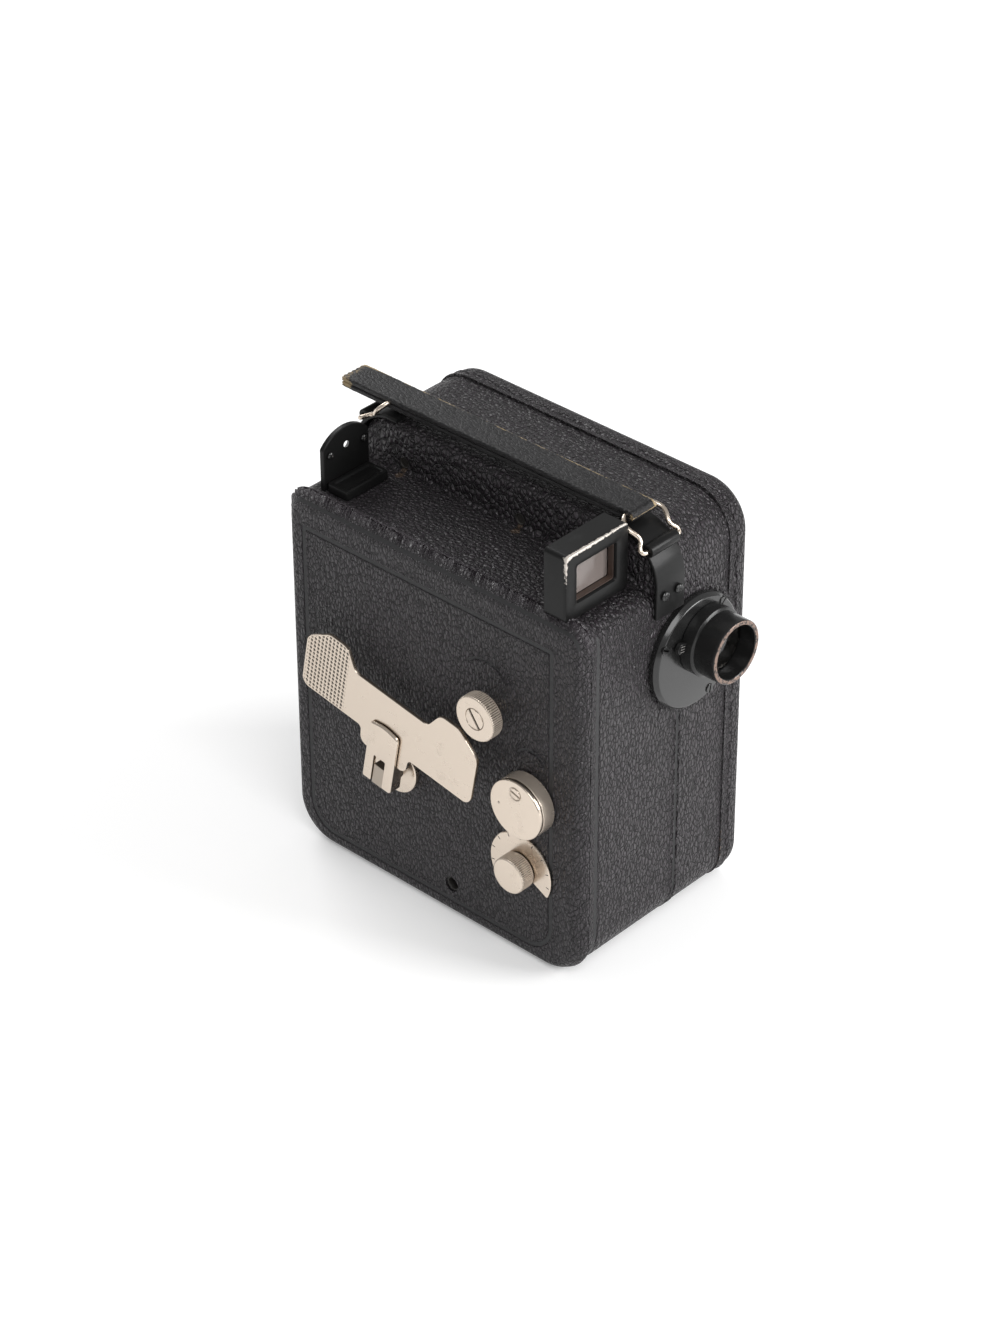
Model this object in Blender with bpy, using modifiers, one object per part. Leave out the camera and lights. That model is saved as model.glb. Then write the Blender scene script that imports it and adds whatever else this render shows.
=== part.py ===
"""A clockwork box cine camera for narrow film, as an assembly of separate pieces.

Metres, +Z up. X runs across the camera, with the winding side at minus X and the film door at plus X.
The lens looks along minus Y. The origin is on the bottom, in the middle of the casing's footprint.
"""

import math

import bmesh
import bpy
from mathutils import Matrix, Vector

# Casing
BODY_LENGTH = 0.110
BODY_WIDTH = 0.0691
TALL_HEIGHT = 0.1313
DECK_DROP = 0.0148
STEP_X = -0.005
CORNER_RADIUS = 0.0129
DECK_RADIUS = 0.0055
EDGE_FILLET = 0.003
WALL = 0.002
COVER_DEPTH = 0.0036
DOOR_DEPTH = 0.0068

# Clearances between neighbours
GAP = 0.0003
OVERLAP = 0.0005

# Lens
LENS_X = 0.0128
LENS_DROP = 0.0363
FLANGE_ASIDE = 0.0026
FLANGE_BELOW = 0.00365
FLANGE_RADIUS = 0.0174
FLANGE_THICK = 0.0031
TUBE_RADIUS = 0.0096
TUBE_BORE = 0.00805
TUBE_REACH = 0.0145
COLLAR_RADIUS = 0.0104
COLLAR_REACH = 0.0070
POINTER_REACH = 0.0136
POINTER_WIDTH = 0.0032
POINTER_ANGLE = 168.0
GLASS_THICK = 0.0024
GLASS_BULGE = 0.0008
GLASS_DEPTH = 0.0046
IRIS_HOLE = 0.0030
PLATE_STOCK = 0.0010
LIGHT_HOLE = 0.0062
FLANGE_SCREW_RADIUS = 0.00125
FLANGE_SCREW_CIRCLE = 0.0156
FLANGE_SCREW_ANGLES = (50.0, 152.0, 290.0)
FLANGE_SCREW_DEPTH = 0.0009

# Finder and rear sight
FINDER_INSET = 0.00175
FINDER_CLEAR = 0.0030
FINDER_BACK = 0.0070
FINDER_DEPTH = 0.0083
FINDER_HEIGHT = 0.0208
FINDER_CORNER = 0.0012
WINDOW_MARGIN = 0.0047
WINDOW_CORNER = 0.0008
FINDER_GLASS_DEPTH = 0.0030
FINDER_GLASS_THICK = 0.0014
SIGHT_ASIDE = 0.000475
SIGHT_BACK = 0.0170
SIGHT_BASE_WIDTH = 0.0166
SIGHT_BASE_DEPTH = 0.0080
SIGHT_BASE_HEIGHT = 0.0027
SIGHT_PAD_RIM = 0.0016
SIGHT_PAD_DEPTH = 0.0007
SIGHT_WIDTH = 0.0180
SIGHT_HEIGHT = 0.0174
SIGHT_ARC_RADIUS = 0.0115
SIGHT_THICK = 0.0016
PEEP_RADIUS = 0.0010
PEEP_HEIGHT = 0.0116
RIVET_RADIUS = 0.0011
RIVET_HEIGHT = 0.0006
RIVET_SPREAD = 0.0066
RIVET_LEVEL = 0.0109

# Carrying strap, its brackets and wire loops
STRAP_X = 0.0
STRAP_WIDTH = 0.0095
STRAP_THICK = 0.0034
STRAP_EDGE = 0.0011
STRAP_TAIL = 0.0620
STRAP_TIP_WALL = 0.0010
STRAP_LIFT = 0.0008
BRACKET_WIDTH = 0.0115
BRACKET_STOCK = 0.0012
BRACKET_LEG = 0.0205
BRACKET_TONGUE = 0.0022
BARREL_RADIUS = 0.0019
BARREL_STAND = 0.00063
WIRE_RADIUS = 0.0007
LOOP_BEND = 0.0016
LOOP_LENGTH = 0.0114
LOOP_RISE = 39.0
BRACKET_SCREW_RADIUS = 0.0014
BRACKET_SCREW_HEIGHT = 0.0008
BRACKET_SCREW_SPREAD = 0.0028
BRACKET_SCREW_DROP = 0.0160

# Folding winding key
WIND_Y = 0.0135
WIND_Z = 0.0425
KEY_TILT = 10.3
BOSS_RADIUS = 0.0081
BOSS_THICK = 0.0013
SHAFT_RADIUS = 0.0030
PIN_STAND = 0.0065
PIN_RADIUS = 0.0007
LUG_WIDTH = 0.0038
LUG_BELOW = 0.0026
LUG_ABOVE = 0.0042
LUG_REACH = 0.0087
EYE_RADIUS = 0.0014
CHANNEL_WIDTH = 0.0110
CHANNEL_STOCK = 0.0010
CHANNEL_TOP = 0.0195
CHANNEL_BOW = 0.0012
CHANNEL_BOW_RADIUS = 0.0120
CHANNEL_FOOT = 0.0020
CHEEK_TOP = 0.0069
CHEEK_BACK = 0.0048
WEB_STOCK = 0.0009
SLOT_WIDTH = 0.0044
SLOT_TOP = 0.0060
KEY_STAND = 0.0069
KEY_STOCK = 0.0010
KEY_SPAN = 0.0330
KEY_FOOT = 0.0130
KEY_TAB_FOOT = 0.0075
KEY_TAB_WIDTH = 0.0178
KEY_SADDLE = 0.0297
KEY_HUMP = 0.0362
KEY_SHOULDER = 0.0305
KEY_VALLEY_AT = 0.0140
KEY_HUMP_FROM = 0.0180
KEY_HUMP_TO = 0.0250
KEY_TAB_CORNER = 0.0026
KEY_ROOT_CORNER = 0.0015
KEY_WING_CORNER = 0.0030
KEY_SHOULDER_CORNER = 0.0040
KEY_HUMP_CORNER = 0.0034

# Knobs on the winding side
RELEASE_Y = -0.0370
RELEASE_Z = 0.0550
RELEASE_RADIUS = 0.0093
RELEASE_DRUM = 0.0046
RELEASE_CAP = 0.0012
RELEASE_EDGE = 0.0004
CAP_SCREW_OFFSET = 0.0054
CAP_SCREW_RADIUS = 0.0013
COUNTER_Y = -0.0237
COUNTER_Z = 0.0800
COUNTER_RADIUS = 0.0070
COUNTER_STAND = 0.0040
COUNTER_THICK = 0.0042
COUNTER_TEETH = 30
COUNTER_SCREW_RADIUS = 0.0022
SPEED_Y = -0.0340
SPEED_Z = 0.0306
SPEED_RADIUS = 0.0056
SPEED_REACH = 0.0062
SPEED_TEETH = 24
DIAL_RADIUS = 0.0113
DIAL_THICK = 0.0007
DIAL_NOTCH = 0.0052
DIAL_SPREAD = 118.0
KNURL_DEPTH = 0.0004
STEM_RADIUS = 0.0018
STEM_DEPTH = 0.0060
SOCKET_Y = -0.0068
SOCKET_Z = 0.0105
SOCKET_RADIUS = 0.0024
SOCKET_BORE = 0.0014
SOCKET_LENGTH = 0.0060
SCREW_HEAD = 0.0005

# Film door hinge and lock
HINGE_STAND = 0.0020
KNUCKLE_RADIUS = 0.0018
KNUCKLE_LENGTH = 0.0150
HINGE_Z = 0.0600
HINGE_PIN_RADIUS = 0.0007
LEAF_WIDTH = 0.0034
LOCK_Y = -0.0080
LOCK_Z = 0.0660
LOCK_RADIUS = 0.0090
LOCK_REACH = 0.0028
LOCK_GRIP = 0.0030
LOCK_BEVEL = 0.00075
LOCK_STEM = 0.0020
LOCK_POST_RADIUS = 0.0035
LOCK_POST_END = 0.0220

# Base
TRIPOD_X = 0.0100
TRIPOD_Y = -0.0200
TRIPOD_RADIUS = 0.0070
TRIPOD_BORE = 0.0031
TRIPOD_HEIGHT = 0.0080

# Clockwork, with depths counted inwards from the winding side
PLATE_THICK = 0.0020
PLATE_NOTCH_BACK = 0.0120
PLATE_NOTCH_MARGIN = 0.0040
SPRING_RADIUS = 0.0270
SPRING_WALL = 0.0012
SPRING_FROM = 0.0070
SPRING_CLEAR = 0.0015
GEAR_RADIUS = 0.0300
GEAR_THICK = 0.0030
GEAR_TEETH = 40
TOOTH_DEPTH = 0.0013
COIL_STOCK = 0.0007
COIL_TURNS = 5
RATCHET_RADIUS = 0.0100
RATCHET_TEETH = 16
RATCHET_ROOM = 0.00535
RATCHET_THICK = 0.0020
CLICK_LENGTH = 0.0105
CLICK_WIDTH = 0.0032
TRAIN_ANGLE = 135.0
SECOND_PINION = 0.0080
SECOND_WHEEL = 0.0140
SECOND_TEETH = 20
WHEEL_THICK = 0.0015
ARBOR_RADIUS = 0.0015
THIRD_PINION = 0.0070
CROWN_RADIUS = 0.0060
CROWN_THICK = 0.0020
GOVERNOR_ANGLE = 75.0
GOVERNOR_PINION = 0.0030
GOVERNOR_RADIUS = 0.0080
GOVERNOR_FROM = 0.0090
GOVERNOR_LENGTH = 0.0100

# Shutter, gate and spools, in the film chamber
SHUTTER_X = 0.0045
SHUTTER_RADIUS = 0.0185
SHUTTER_THICK = 0.0008
SHUTTER_BACK = 0.0075
SHUTTER_HUB = 0.0052
SHUTTER_PINION_LENGTH = 0.0052
SHUTTER_OPENING = 170.0
GATE_BACK = 0.0150
GATE_RIGHT = 0.0220
GATE_BELOW = 0.0075
GATE_ABOVE = 0.0170
GATE_THICK = 0.0015
GATE_WINDOW_WIDTH = 0.0085
GATE_WINDOW_HEIGHT = 0.0065
FILM_WIDTH = 0.0095
PRESSURE_HEIGHT = 0.0160
PRESSURE_THICK = 0.0014
CLAW_WIDTH = 0.0026
CLAW_BELOW = 0.0055
CLAW_HEIGHT = 0.0040
CLAW_LENGTH = 0.0042
SPOOL_RADIUS = 0.0255
SPOOL_CORE = 0.0080
SPOOL_FLANGE = 0.0008
SPOOL_BACK = 0.0310
FEED_DROP = 0.0313
TAKEUP_Z = 0.0345
SPINDLE_RADIUS = 0.0030
SPINDLE_BEYOND = 0.0025

# Facets
ARC_STEPS = 6
ROUND = 36
HIDDEN = 20
SMALL = 16
FILLET_STEPS = 3
FILLET_SHAPE = 0.5
UPRIGHT = 0.5
FLAT_ANGLE = 0.1
FULL_ROUND = 0.9
TOOTH_ROOT = 0.25
TOOTH_RISE = 0.42
TOOTH_TIP = 0.83
SAW_TIP = 0.92
WELD = 1e-7

# Places worked out from the sizes above
FRONT_Y = -BODY_LENGTH / 2
REAR_Y = BODY_LENGTH / 2
SIDE_X = -BODY_WIDTH / 2
DOOR_X = BODY_WIDTH / 2
COVER_SEAM = SIDE_X + COVER_DEPTH
DOOR_SEAM = DOOR_X - DOOR_DEPTH
PLATE_X = STEP_X + WALL + GAP
PLATE_END = PLATE_X + PLATE_THICK
PLATE_DEPTH = PLATE_X - SIDE_X
CHAMBER_X = PLATE_END + GAP
SIDE_HOLE = STEM_RADIUS + GAP
LOW_HEIGHT = TALL_HEIGHT - DECK_DROP
LENS_Z = TALL_HEIGHT - LENS_DROP
FLANGE_X = LENS_X - FLANGE_ASIDE
FLANGE_Z = LENS_Z - FLANGE_BELOW
FINDER_LEFT = SIDE_X + FINDER_INSET
FINDER_RIGHT = STEP_X - FINDER_CLEAR
FINDER_FRONT = FRONT_Y + FINDER_BACK
SIGHT_X = (SIDE_X + STEP_X) / 2 + SIGHT_ASIDE
SIGHT_FRONT = REAR_Y - SIGHT_BACK
PLATE_NOTCH_Y = FRONT_Y + PLATE_NOTCH_BACK
RATCHET_FROM = PLATE_DEPTH - RATCHET_ROOM
SPRING_TO = RATCHET_FROM - SPRING_CLEAR
SHUTTER_Y = FRONT_Y + SHUTTER_BACK
GATE_Y = FRONT_Y + GATE_BACK
GATE_BOTTOM = LENS_Z - GATE_BELOW
GATE_TOP = LENS_Z + GATE_ABOVE
CLAW_TOP = LENS_Z - CLAW_BELOW
SPOOL_Y = REAR_Y - SPOOL_BACK
FEED_Z = TALL_HEIGHT - FEED_DROP

FINISHES = {
    "leather": ((0.022, 0.021, 0.020), 0.60, 0.0),
    "enamel": ((0.015, 0.014, 0.014), 0.18, 0.0),
    "nickel": ((0.78, 0.72, 0.64), 0.25, 1.0),
    "steel": ((0.55, 0.55, 0.55), 0.35, 1.0),
    "brass": ((0.60, 0.45, 0.20), 0.35, 1.0),
    "aluminium": ((0.55, 0.55, 0.56), 0.45, 1.0),
    "glass": ((0.75, 0.82, 0.82), 0.05, 0.0),
    "hide": ((0.05, 0.042, 0.035), 0.70, 0.0),
}

# Local x up, local y towards the rear, local z out of the winding side
SIDE_TURN = Matrix(((0, 0, -1, 0), (0, 1, 0, 0), (1, 0, 0, 0), (0, 0, 0, 1)))
# Local x across, local y up, local z out of the front
FRONT_TURN = Matrix(((1, 0, 0, 0), (0, 0, -1, 0), (0, 1, 0, 0), (0, 0, 0, 1)))
# Local x towards the rear, local y up, local z along plus X
ACROSS_TURN = Matrix(((0, 0, 1, 0), (1, 0, 0, 0), (0, 1, 0, 0), (0, 0, 0, 1)))


def clear_scene():
    """Remove every object, and make the collections for the parts and for the cutters."""
    for old in list(bpy.data.objects):
        bpy.data.objects.remove(old, do_unlink=True)
    parts = bpy.data.collections.new("cine_camera")
    helpers = bpy.data.collections.new("cutters")
    bpy.context.scene.collection.children.link(parts)
    bpy.context.scene.collection.children.link(helpers)
    return parts, helpers


PARTS, HELPERS = clear_scene()


def on_side(y, z, turn=0.0):
    """The frame of a piece on the winding side: local z stands out of the casing."""
    return Matrix.Translation((SIDE_X, y, z)) @ SIDE_TURN @ Matrix.Rotation(turn, 4, "Z")


def on_front(x, z):
    """The frame of a piece on the front: local z stands out of the casing."""
    return Matrix.Translation((x, FRONT_Y, z)) @ FRONT_TURN


def across(x, y, z):
    """The frame of a piece that runs along plus X."""
    return Matrix.Translation((x, y, z)) @ ACROSS_TURN


def finish(item, finish_name):
    """Give a part its own Principled material and put it among the parts, or among the helpers."""
    if finish_name is None:
        HELPERS.objects.link(item)
        item.hide_render = True
        item.display_type = "WIRE"
        return item
    colour, roughness, metallic = FINISHES[finish_name]
    material = bpy.data.materials.new(item.name)
    material.use_nodes = True
    shader = material.node_tree.nodes["Principled BSDF"]
    shader.inputs["Base Color"].default_value = (*colour, 1.0)
    shader.inputs["Roughness"].default_value = roughness
    shader.inputs["Metallic"].default_value = metallic
    item.data.materials.append(material)
    PARTS.objects.link(item)
    return item


def rounded(corners, steps=ARC_STEPS):
    """The outline through (u, v, radius) corners, each corner with a radius turned into an arc."""
    outline = []
    count = len(corners)
    for index, (u, v, radius) in enumerate(corners):
        here = Vector((u, v))
        if radius <= 0:
            outline.append(here)
            continue
        to_before = (Vector(corners[index - 1][:2]) - here).normalized()
        to_after = (Vector(corners[(index + 1) % count][:2]) - here).normalized()
        half = to_before.angle(to_after) / 2
        centre = here + (to_before + to_after).normalized() * radius / math.sin(half)
        first = here + to_before * radius / math.tan(half) - centre
        last = here + to_after * radius / math.tan(half) - centre
        sweep = math.atan2(first.cross(last), first.dot(last))
        for step in range(steps + 1):
            outline.append(centre + Matrix.Rotation(sweep * step / steps, 2) @ first)
    return outline


def rectangle(u_low, u_high, v_low, v_high, radius=0.0):
    """A rectangle with round corners."""
    return rounded(
        [(u_low, v_low, radius), (u_high, v_low, radius), (u_high, v_high, radius), (u_low, v_high, radius)]
    )


def arc(u, v, radius, start, end, steps):
    """Points along an arc, with its angles in degrees."""
    angles = [math.radians(start + (end - start) * step / steps) for step in range(steps + 1)]
    return [Vector((u + radius * math.cos(a), v + radius * math.sin(a))) for a in angles]


def circle(u, v, radius, sides=SMALL):
    """A round outline."""
    return arc(u, v, radius, 0.0, 360.0, sides)[:-1]


def toothed(radius, depth, teeth):
    """A gear's outline: each tooth a trapezoid with its tip on the radius."""
    outline = []
    for tooth in range(teeth):
        for share, level in ((0, -depth), (TOOTH_ROOT, -depth), (TOOTH_RISE, 0), (TOOTH_TIP, 0)):
            angle = 2 * math.pi * (tooth + share) / teeth
            outline.append(Vector((math.cos(angle), math.sin(angle))) * (radius + level))
    return outline


def saw_toothed(radius, depth, teeth):
    """A ratchet's outline: each tooth rises slowly and drops at once."""
    outline = []
    for tooth in range(teeth):
        for share, level in ((0, -depth), (SAW_TIP, 0)):
            angle = 2 * math.pi * (tooth + share) / teeth
            outline.append(Vector((math.cos(angle), math.sin(angle))) * (radius + level))
    return outline


def prism(name, loops, low, high, place, finish_name=None):
    """A flat outline, with any inner loops as holes, extruded along local z from low to high."""
    curve = bpy.data.curves.new(name, "CURVE")
    curve.dimensions = "2D"
    curve.fill_mode = "BOTH"
    curve.extrude = (high - low) / 2
    for loop in loops:
        spline = curve.splines.new("POLY")
        spline.points.add(len(loop) - 1)
        for point, (u, v) in zip(spline.points, loop):
            point.co = (u, v, 0.0, 1.0)
        spline.use_cyclic_u = True
    holder = bpy.data.objects.new(name, curve)
    bpy.context.scene.collection.objects.link(holder)
    graph = bpy.context.evaluated_depsgraph_get()
    mesh = bpy.data.meshes.new_from_object(holder.evaluated_get(graph))
    bpy.data.objects.remove(holder)
    bpy.data.curves.remove(curve)
    solid = bmesh.new()
    solid.from_mesh(mesh)
    bmesh.ops.remove_doubles(solid, verts=solid.verts, dist=WELD)
    bmesh.ops.translate(solid, verts=solid.verts, vec=(0, 0, (low + high) / 2))
    flat = math.radians(FLAT_ANGLE)
    bmesh.ops.dissolve_limit(solid, angle_limit=flat, verts=solid.verts, edges=solid.edges)
    bmesh.ops.recalc_face_normals(solid, faces=solid.faces)
    solid.to_mesh(mesh)
    solid.free()
    mesh.name = name
    item = bpy.data.objects.new(name, mesh)
    item.matrix_world = place
    return finish(item, finish_name)


def turned(name, profile, place, finish_name=None, sides=ROUND):
    """A profile of (radius, height) points, running down its outer side, turned about local z."""
    mesh = bpy.data.meshes.new(name)
    edges = [(index, index + 1) for index in range(len(profile) - 1)]
    if min(profile[0][0], profile[-1][0]) > 0:
        edges.append((len(profile) - 1, 0))
    mesh.from_pydata([(radius, 0.0, height) for radius, height in profile], edges, [])
    item = bpy.data.objects.new(name, mesh)
    item.matrix_world = place
    screw = item.modifiers.new("Turned", "SCREW")
    screw.steps = sides
    screw.render_steps = sides
    screw.use_merge_vertices = True
    screw.merge_threshold = WELD
    return finish(item, finish_name)


def rod(name, radius, low, high, place, finish_name=None, sides=SMALL):
    """A round bar along local z."""
    return turned(name, [(0, high), (radius, high), (radius, low), (0, low)], place, finish_name, sides)


def ring(name, radius, bore, low, high, place, finish_name=None, sides=ROUND):
    """A bush along local z."""
    profile = [(radius, high), (radius, low), (bore, low), (bore, high)]
    return turned(name, profile, place, finish_name, sides)


def box(name, low, high, place=None, finish_name=None):
    """A block between two corners."""
    solid = bmesh.new()
    bmesh.ops.create_cube(solid, size=1.0)
    bmesh.ops.scale(solid, verts=solid.verts, vec=Vector(high) - Vector(low))
    bmesh.ops.translate(solid, verts=solid.verts, vec=(Vector(high) + Vector(low)) / 2)
    mesh = bpy.data.meshes.new(name)
    solid.to_mesh(mesh)
    solid.free()
    item = bpy.data.objects.new(name, mesh)
    item.matrix_world = place or Matrix.Identity(4)
    return finish(item, finish_name)


def combine(target, other, operation):
    """Cut, join or intersect a part with a helper."""
    boolean = target.modifiers.new(other.name, "BOOLEAN")
    boolean.operation = operation
    boolean.solver = "MANIFOLD"
    boolean.object = other
    return target


def cut(target, other):
    """Take the helper's shape out of the part."""
    return combine(target, other, "DIFFERENCE")


def join(target, other):
    """Make the helper's shape one with the part."""
    return combine(target, other, "UNION")


def round_end(item, height, radius):
    """Round the outline's edge at one end of a prism."""
    solid = bmesh.new()
    solid.from_mesh(item.data)
    rim = [e for e in solid.edges if all(abs(v.co.z - height) < WELD for v in e.verts)]
    rim = [e for e in rim if any(abs(f.normal.z) < UPRIGHT for f in e.link_faces)]
    bmesh.ops.bevel(
        solid, geom=rim, offset=radius, segments=FILLET_STEPS, profile=FILLET_SHAPE, affect="EDGES"
    )
    solid.to_mesh(item.data)
    solid.free()
    return item


def casing_outline(top, top_radius, inset):
    """The casing's side outline, drawn in by an inset."""
    low = CORNER_RADIUS - inset
    high = top_radius - inset
    return rounded(
        [
            (FRONT_Y + inset, inset, low),
            (REAR_Y - inset, inset, low),
            (REAR_Y - inset, top - inset, high),
            (FRONT_Y + inset, top - inset, high),
        ]
    )


def casing_halves(name, inset, low_inset):
    """The tall film chamber and the low deck, each drawn in by its inset."""
    place = across(0, 0, 0)
    tall_outline = casing_outline(TALL_HEIGHT, CORNER_RADIUS, inset)
    low_outline = casing_outline(LOW_HEIGHT, DECK_RADIUS, low_inset)
    low_end = STEP_X + EDGE_FILLET + inset + OVERLAP
    tall = prism(name + "_tall", [tall_outline], STEP_X + inset, DOOR_X - inset, place)
    low = prism(name + "_low", [low_outline], SIDE_X + inset, low_end, place)
    return tall, low


def casing_form():
    """The casing's outer form: both halves with round edges, joined."""
    tall, low = casing_halves("casing", 0.0, 0.0)
    round_end(tall, STEP_X, EDGE_FILLET)
    round_end(tall, DOOR_X, EDGE_FILLET)
    round_end(low, SIDE_X, EDGE_FILLET)
    return join(low, tall)


def casing_slab(name, low, high):
    """Everything between two planes across the camera."""
    reach = BODY_LENGTH + TALL_HEIGHT
    return box(name, (low, -reach, -reach), (high, reach, reach))


def solid_copy(name, source, finish_name):
    """A part that starts as the evaluated shape of a helper."""
    graph = bpy.context.evaluated_depsgraph_get()
    mesh = bpy.data.meshes.new_from_object(source.evaluated_get(graph))
    mesh.name = name
    item = bpy.data.objects.new(name, mesh)
    item.matrix_world = source.matrix_world
    return finish(item, finish_name)


def side_bore(name, y, z, radius):
    """A cutter for a hole through the side cover."""
    return rod(name, radius, -COVER_DEPTH - WALL, WALL, on_side(y, z))


def hinge_knuckle(name, low, high):
    """One barrel of the door hinge."""
    place = Matrix.Translation((DOOR_SEAM, REAR_Y + HINGE_STAND, 0))
    return rod(name, KNUCKLE_RADIUS, low, high, place)


def casing():
    """The body shell, the side cover and the film door, cut from one form along two seams."""
    form = casing_form()
    # The hollow's low half is drawn in a little further, so that its walls clear those of the tall half
    hollow_tall, hollow_low = casing_halves("hollow", WALL, WALL + GAP)
    pieces = {}
    spans = {
        "side_cover": (SIDE_X - WALL, COVER_SEAM - GAP / 2),
        "body_shell": (COVER_SEAM + GAP / 2, DOOR_SEAM - GAP / 2),
        "film_door": (DOOR_SEAM + GAP / 2, DOOR_X + WALL),
    }
    for name, (low, high) in spans.items():
        piece = solid_copy(name, form, "leather")
        combine(piece, casing_slab(name + "_slab", low, high), "INTERSECT")
        cut(piece, hollow_tall)
        cut(piece, hollow_low)
        pieces[name] = piece
    return pieces


def door_hinge(pieces):
    """Knuckles on the body and on the door, at the rear, with one pin through them."""
    middle_low = HINGE_Z - KNUCKLE_LENGTH
    middle_high = HINGE_Z + KNUCKLE_LENGTH
    lower = (middle_low - KNUCKLE_LENGTH, middle_low - GAP)
    upper = (middle_high + GAP, middle_high + KNUCKLE_LENGTH)
    ends = (lower, upper)
    leaf_out = REAR_Y + HINGE_STAND - KNUCKLE_RADIUS / 2
    for index, (low, high) in enumerate(ends):
        leaf_low = (DOOR_SEAM - LEAF_WIDTH, REAR_Y - WALL / 2, low)
        leaf_high = (DOOR_SEAM - GAP / 2, leaf_out, high)
        join(pieces["body_shell"], box(f"body_leaf_{index}", leaf_low, leaf_high))
        join(pieces["body_shell"], hinge_knuckle(f"body_knuckle_{index}", low, high))
    door_low = (DOOR_SEAM + GAP / 2, REAR_Y - WALL / 2, middle_low)
    door_high = (DOOR_SEAM + LEAF_WIDTH, leaf_out, middle_high)
    join(pieces["film_door"], box("door_leaf", door_low, door_high))
    join(pieces["film_door"], hinge_knuckle("door_knuckle", middle_low, middle_high))
    place = Matrix.Translation((DOOR_SEAM, REAR_Y + HINGE_STAND, 0))
    pin_low = ends[0][0] - GAP
    pin_high = ends[1][1] + GAP
    bore = rod("hinge_bore", HINGE_PIN_RADIUS + GAP, pin_low - GAP, pin_high + GAP, place)
    cut(pieces["body_shell"], bore)
    cut(pieces["film_door"], bore)
    rod("door_pin", HINGE_PIN_RADIUS, pin_low, pin_high, place, "steel")


def door_lock(pieces):
    """A turn knob on the door, with its spindle meeting a post on the centre plate."""
    out = Matrix.Translation((DOOR_X, LOCK_Y, LOCK_Z)) @ ACROSS_TURN
    inner = LOCK_POST_END + GAP - DOOR_X
    cut(pieces["film_door"], rod("lock_bore", LOCK_STEM + GAP, inner, WALL, out))
    profile = [(0, LOCK_REACH), (LOCK_RADIUS - LOCK_BEVEL, LOCK_REACH), (LOCK_RADIUS, LOCK_REACH / 2)]
    profile += [(LOCK_RADIUS, GAP), (LOCK_STEM, GAP), (LOCK_STEM, inner), (0, inner)]
    knob = turned("lock_knob", profile, out, "nickel", HIDDEN)
    grip_top = LOCK_REACH + LOCK_GRIP
    half = LOCK_GRIP / 2
    grip_reach = LOCK_RADIUS - LOCK_GRIP / 2
    grip = rectangle(-half, half, -grip_reach, grip_reach, half * FULL_ROUND)
    join(knob, prism("lock_grip", [grip], LOCK_REACH / 2, grip_top, out))
    rod("lock_post", LOCK_POST_RADIUS, CHAMBER_X, LOCK_POST_END, across(0, LOCK_Y, LOCK_Z), "steel")


def lens(pieces):
    """The eccentric flange with its screws, and the tube that turns in it to set the stop."""
    flange_place = on_front(FLANGE_X, FLANGE_Z)
    tube_place = on_front(LENS_X, LENS_Z)
    cut(pieces["body_shell"], rod("light_bore", LIGHT_HOLE, -2 * WALL, WALL, tube_place, None, ROUND))
    edge = FLANGE_THICK / 4
    shoulder = FLANGE_RADIUS - edge / 2
    profile = [(0, FLANGE_THICK), (FLANGE_RADIUS - 2 * edge, FLANGE_THICK), (shoulder, 2 * edge)]
    profile += [(FLANGE_RADIUS, edge), (FLANGE_RADIUS, GAP), (0, GAP)]
    flange = turned("lens_flange", profile, flange_place, "enamel")
    spigot = TUBE_RADIUS - GAP
    cut(flange, rod("flange_bore", TUBE_RADIUS, -WALL, 2 * FLANGE_THICK, tube_place, None, ROUND))
    for index, degrees in enumerate(FLANGE_SCREW_ANGLES):
        angle = math.radians(degrees)
        x = FLANGE_X + FLANGE_SCREW_CIRCLE * math.cos(angle)
        z = FLANGE_Z + FLANGE_SCREW_CIRCLE * math.sin(angle)
        place = on_front(x, z)
        floor = FLANGE_THICK - FLANGE_SCREW_DEPTH
        cut(flange, rod(f"screw_seat_{index}", FLANGE_SCREW_RADIUS + GAP, floor, 2 * FLANGE_THICK, place))
        rod(f"flange_screw_{index + 1}", FLANGE_SCREW_RADIUS, floor + GAP, FLANGE_THICK, place, "nickel")
    collar_foot = FLANGE_THICK + GAP
    profile = [
        (TUBE_RADIUS - GAP, TUBE_REACH),
        (TUBE_RADIUS, TUBE_REACH - GAP),
        (TUBE_RADIUS, COLLAR_REACH),
        (COLLAR_RADIUS, COLLAR_REACH),
        (COLLAR_RADIUS, collar_foot),
        (spigot, collar_foot),
        (spigot, GAP),
        (TUBE_BORE, GAP),
        (TUBE_BORE, TUBE_REACH),
    ]
    tube = turned("lens_barrel", profile, tube_place, "enamel")
    pointer_place = tube_place @ Matrix.Rotation(math.radians(POINTER_ANGLE), 4, "Z")
    half = POINTER_WIDTH / 2
    inner = TUBE_BORE + (TUBE_RADIUS - TUBE_BORE) / 2
    tip = half / 2
    pointer = rounded(
        [(inner, -half, 0), (POINTER_REACH, -half, tip), (POINTER_REACH, half, tip), (inner, half, 0)]
    )
    join(tube, prism("pointer", [pointer], collar_foot, collar_foot + POINTER_WIDTH / 2, pointer_place))
    rim = TUBE_BORE - GAP
    back = TUBE_REACH - GLASS_DEPTH - GLASS_THICK
    front = back + GLASS_THICK
    quarter = GLASS_BULGE / 4
    profile = [(0, front), (rim / 2, front - quarter), (rim, front - GLASS_BULGE)]
    profile += [(rim, back + GLASS_BULGE), (rim / 2, back + quarter), (0, back)]
    turned("front_lens", profile, tube_place, "glass")
    ring("iris_disc", rim, IRIS_HOLE, back - GAP - PLATE_STOCK, back - GAP, tube_place, "enamel")


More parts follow.
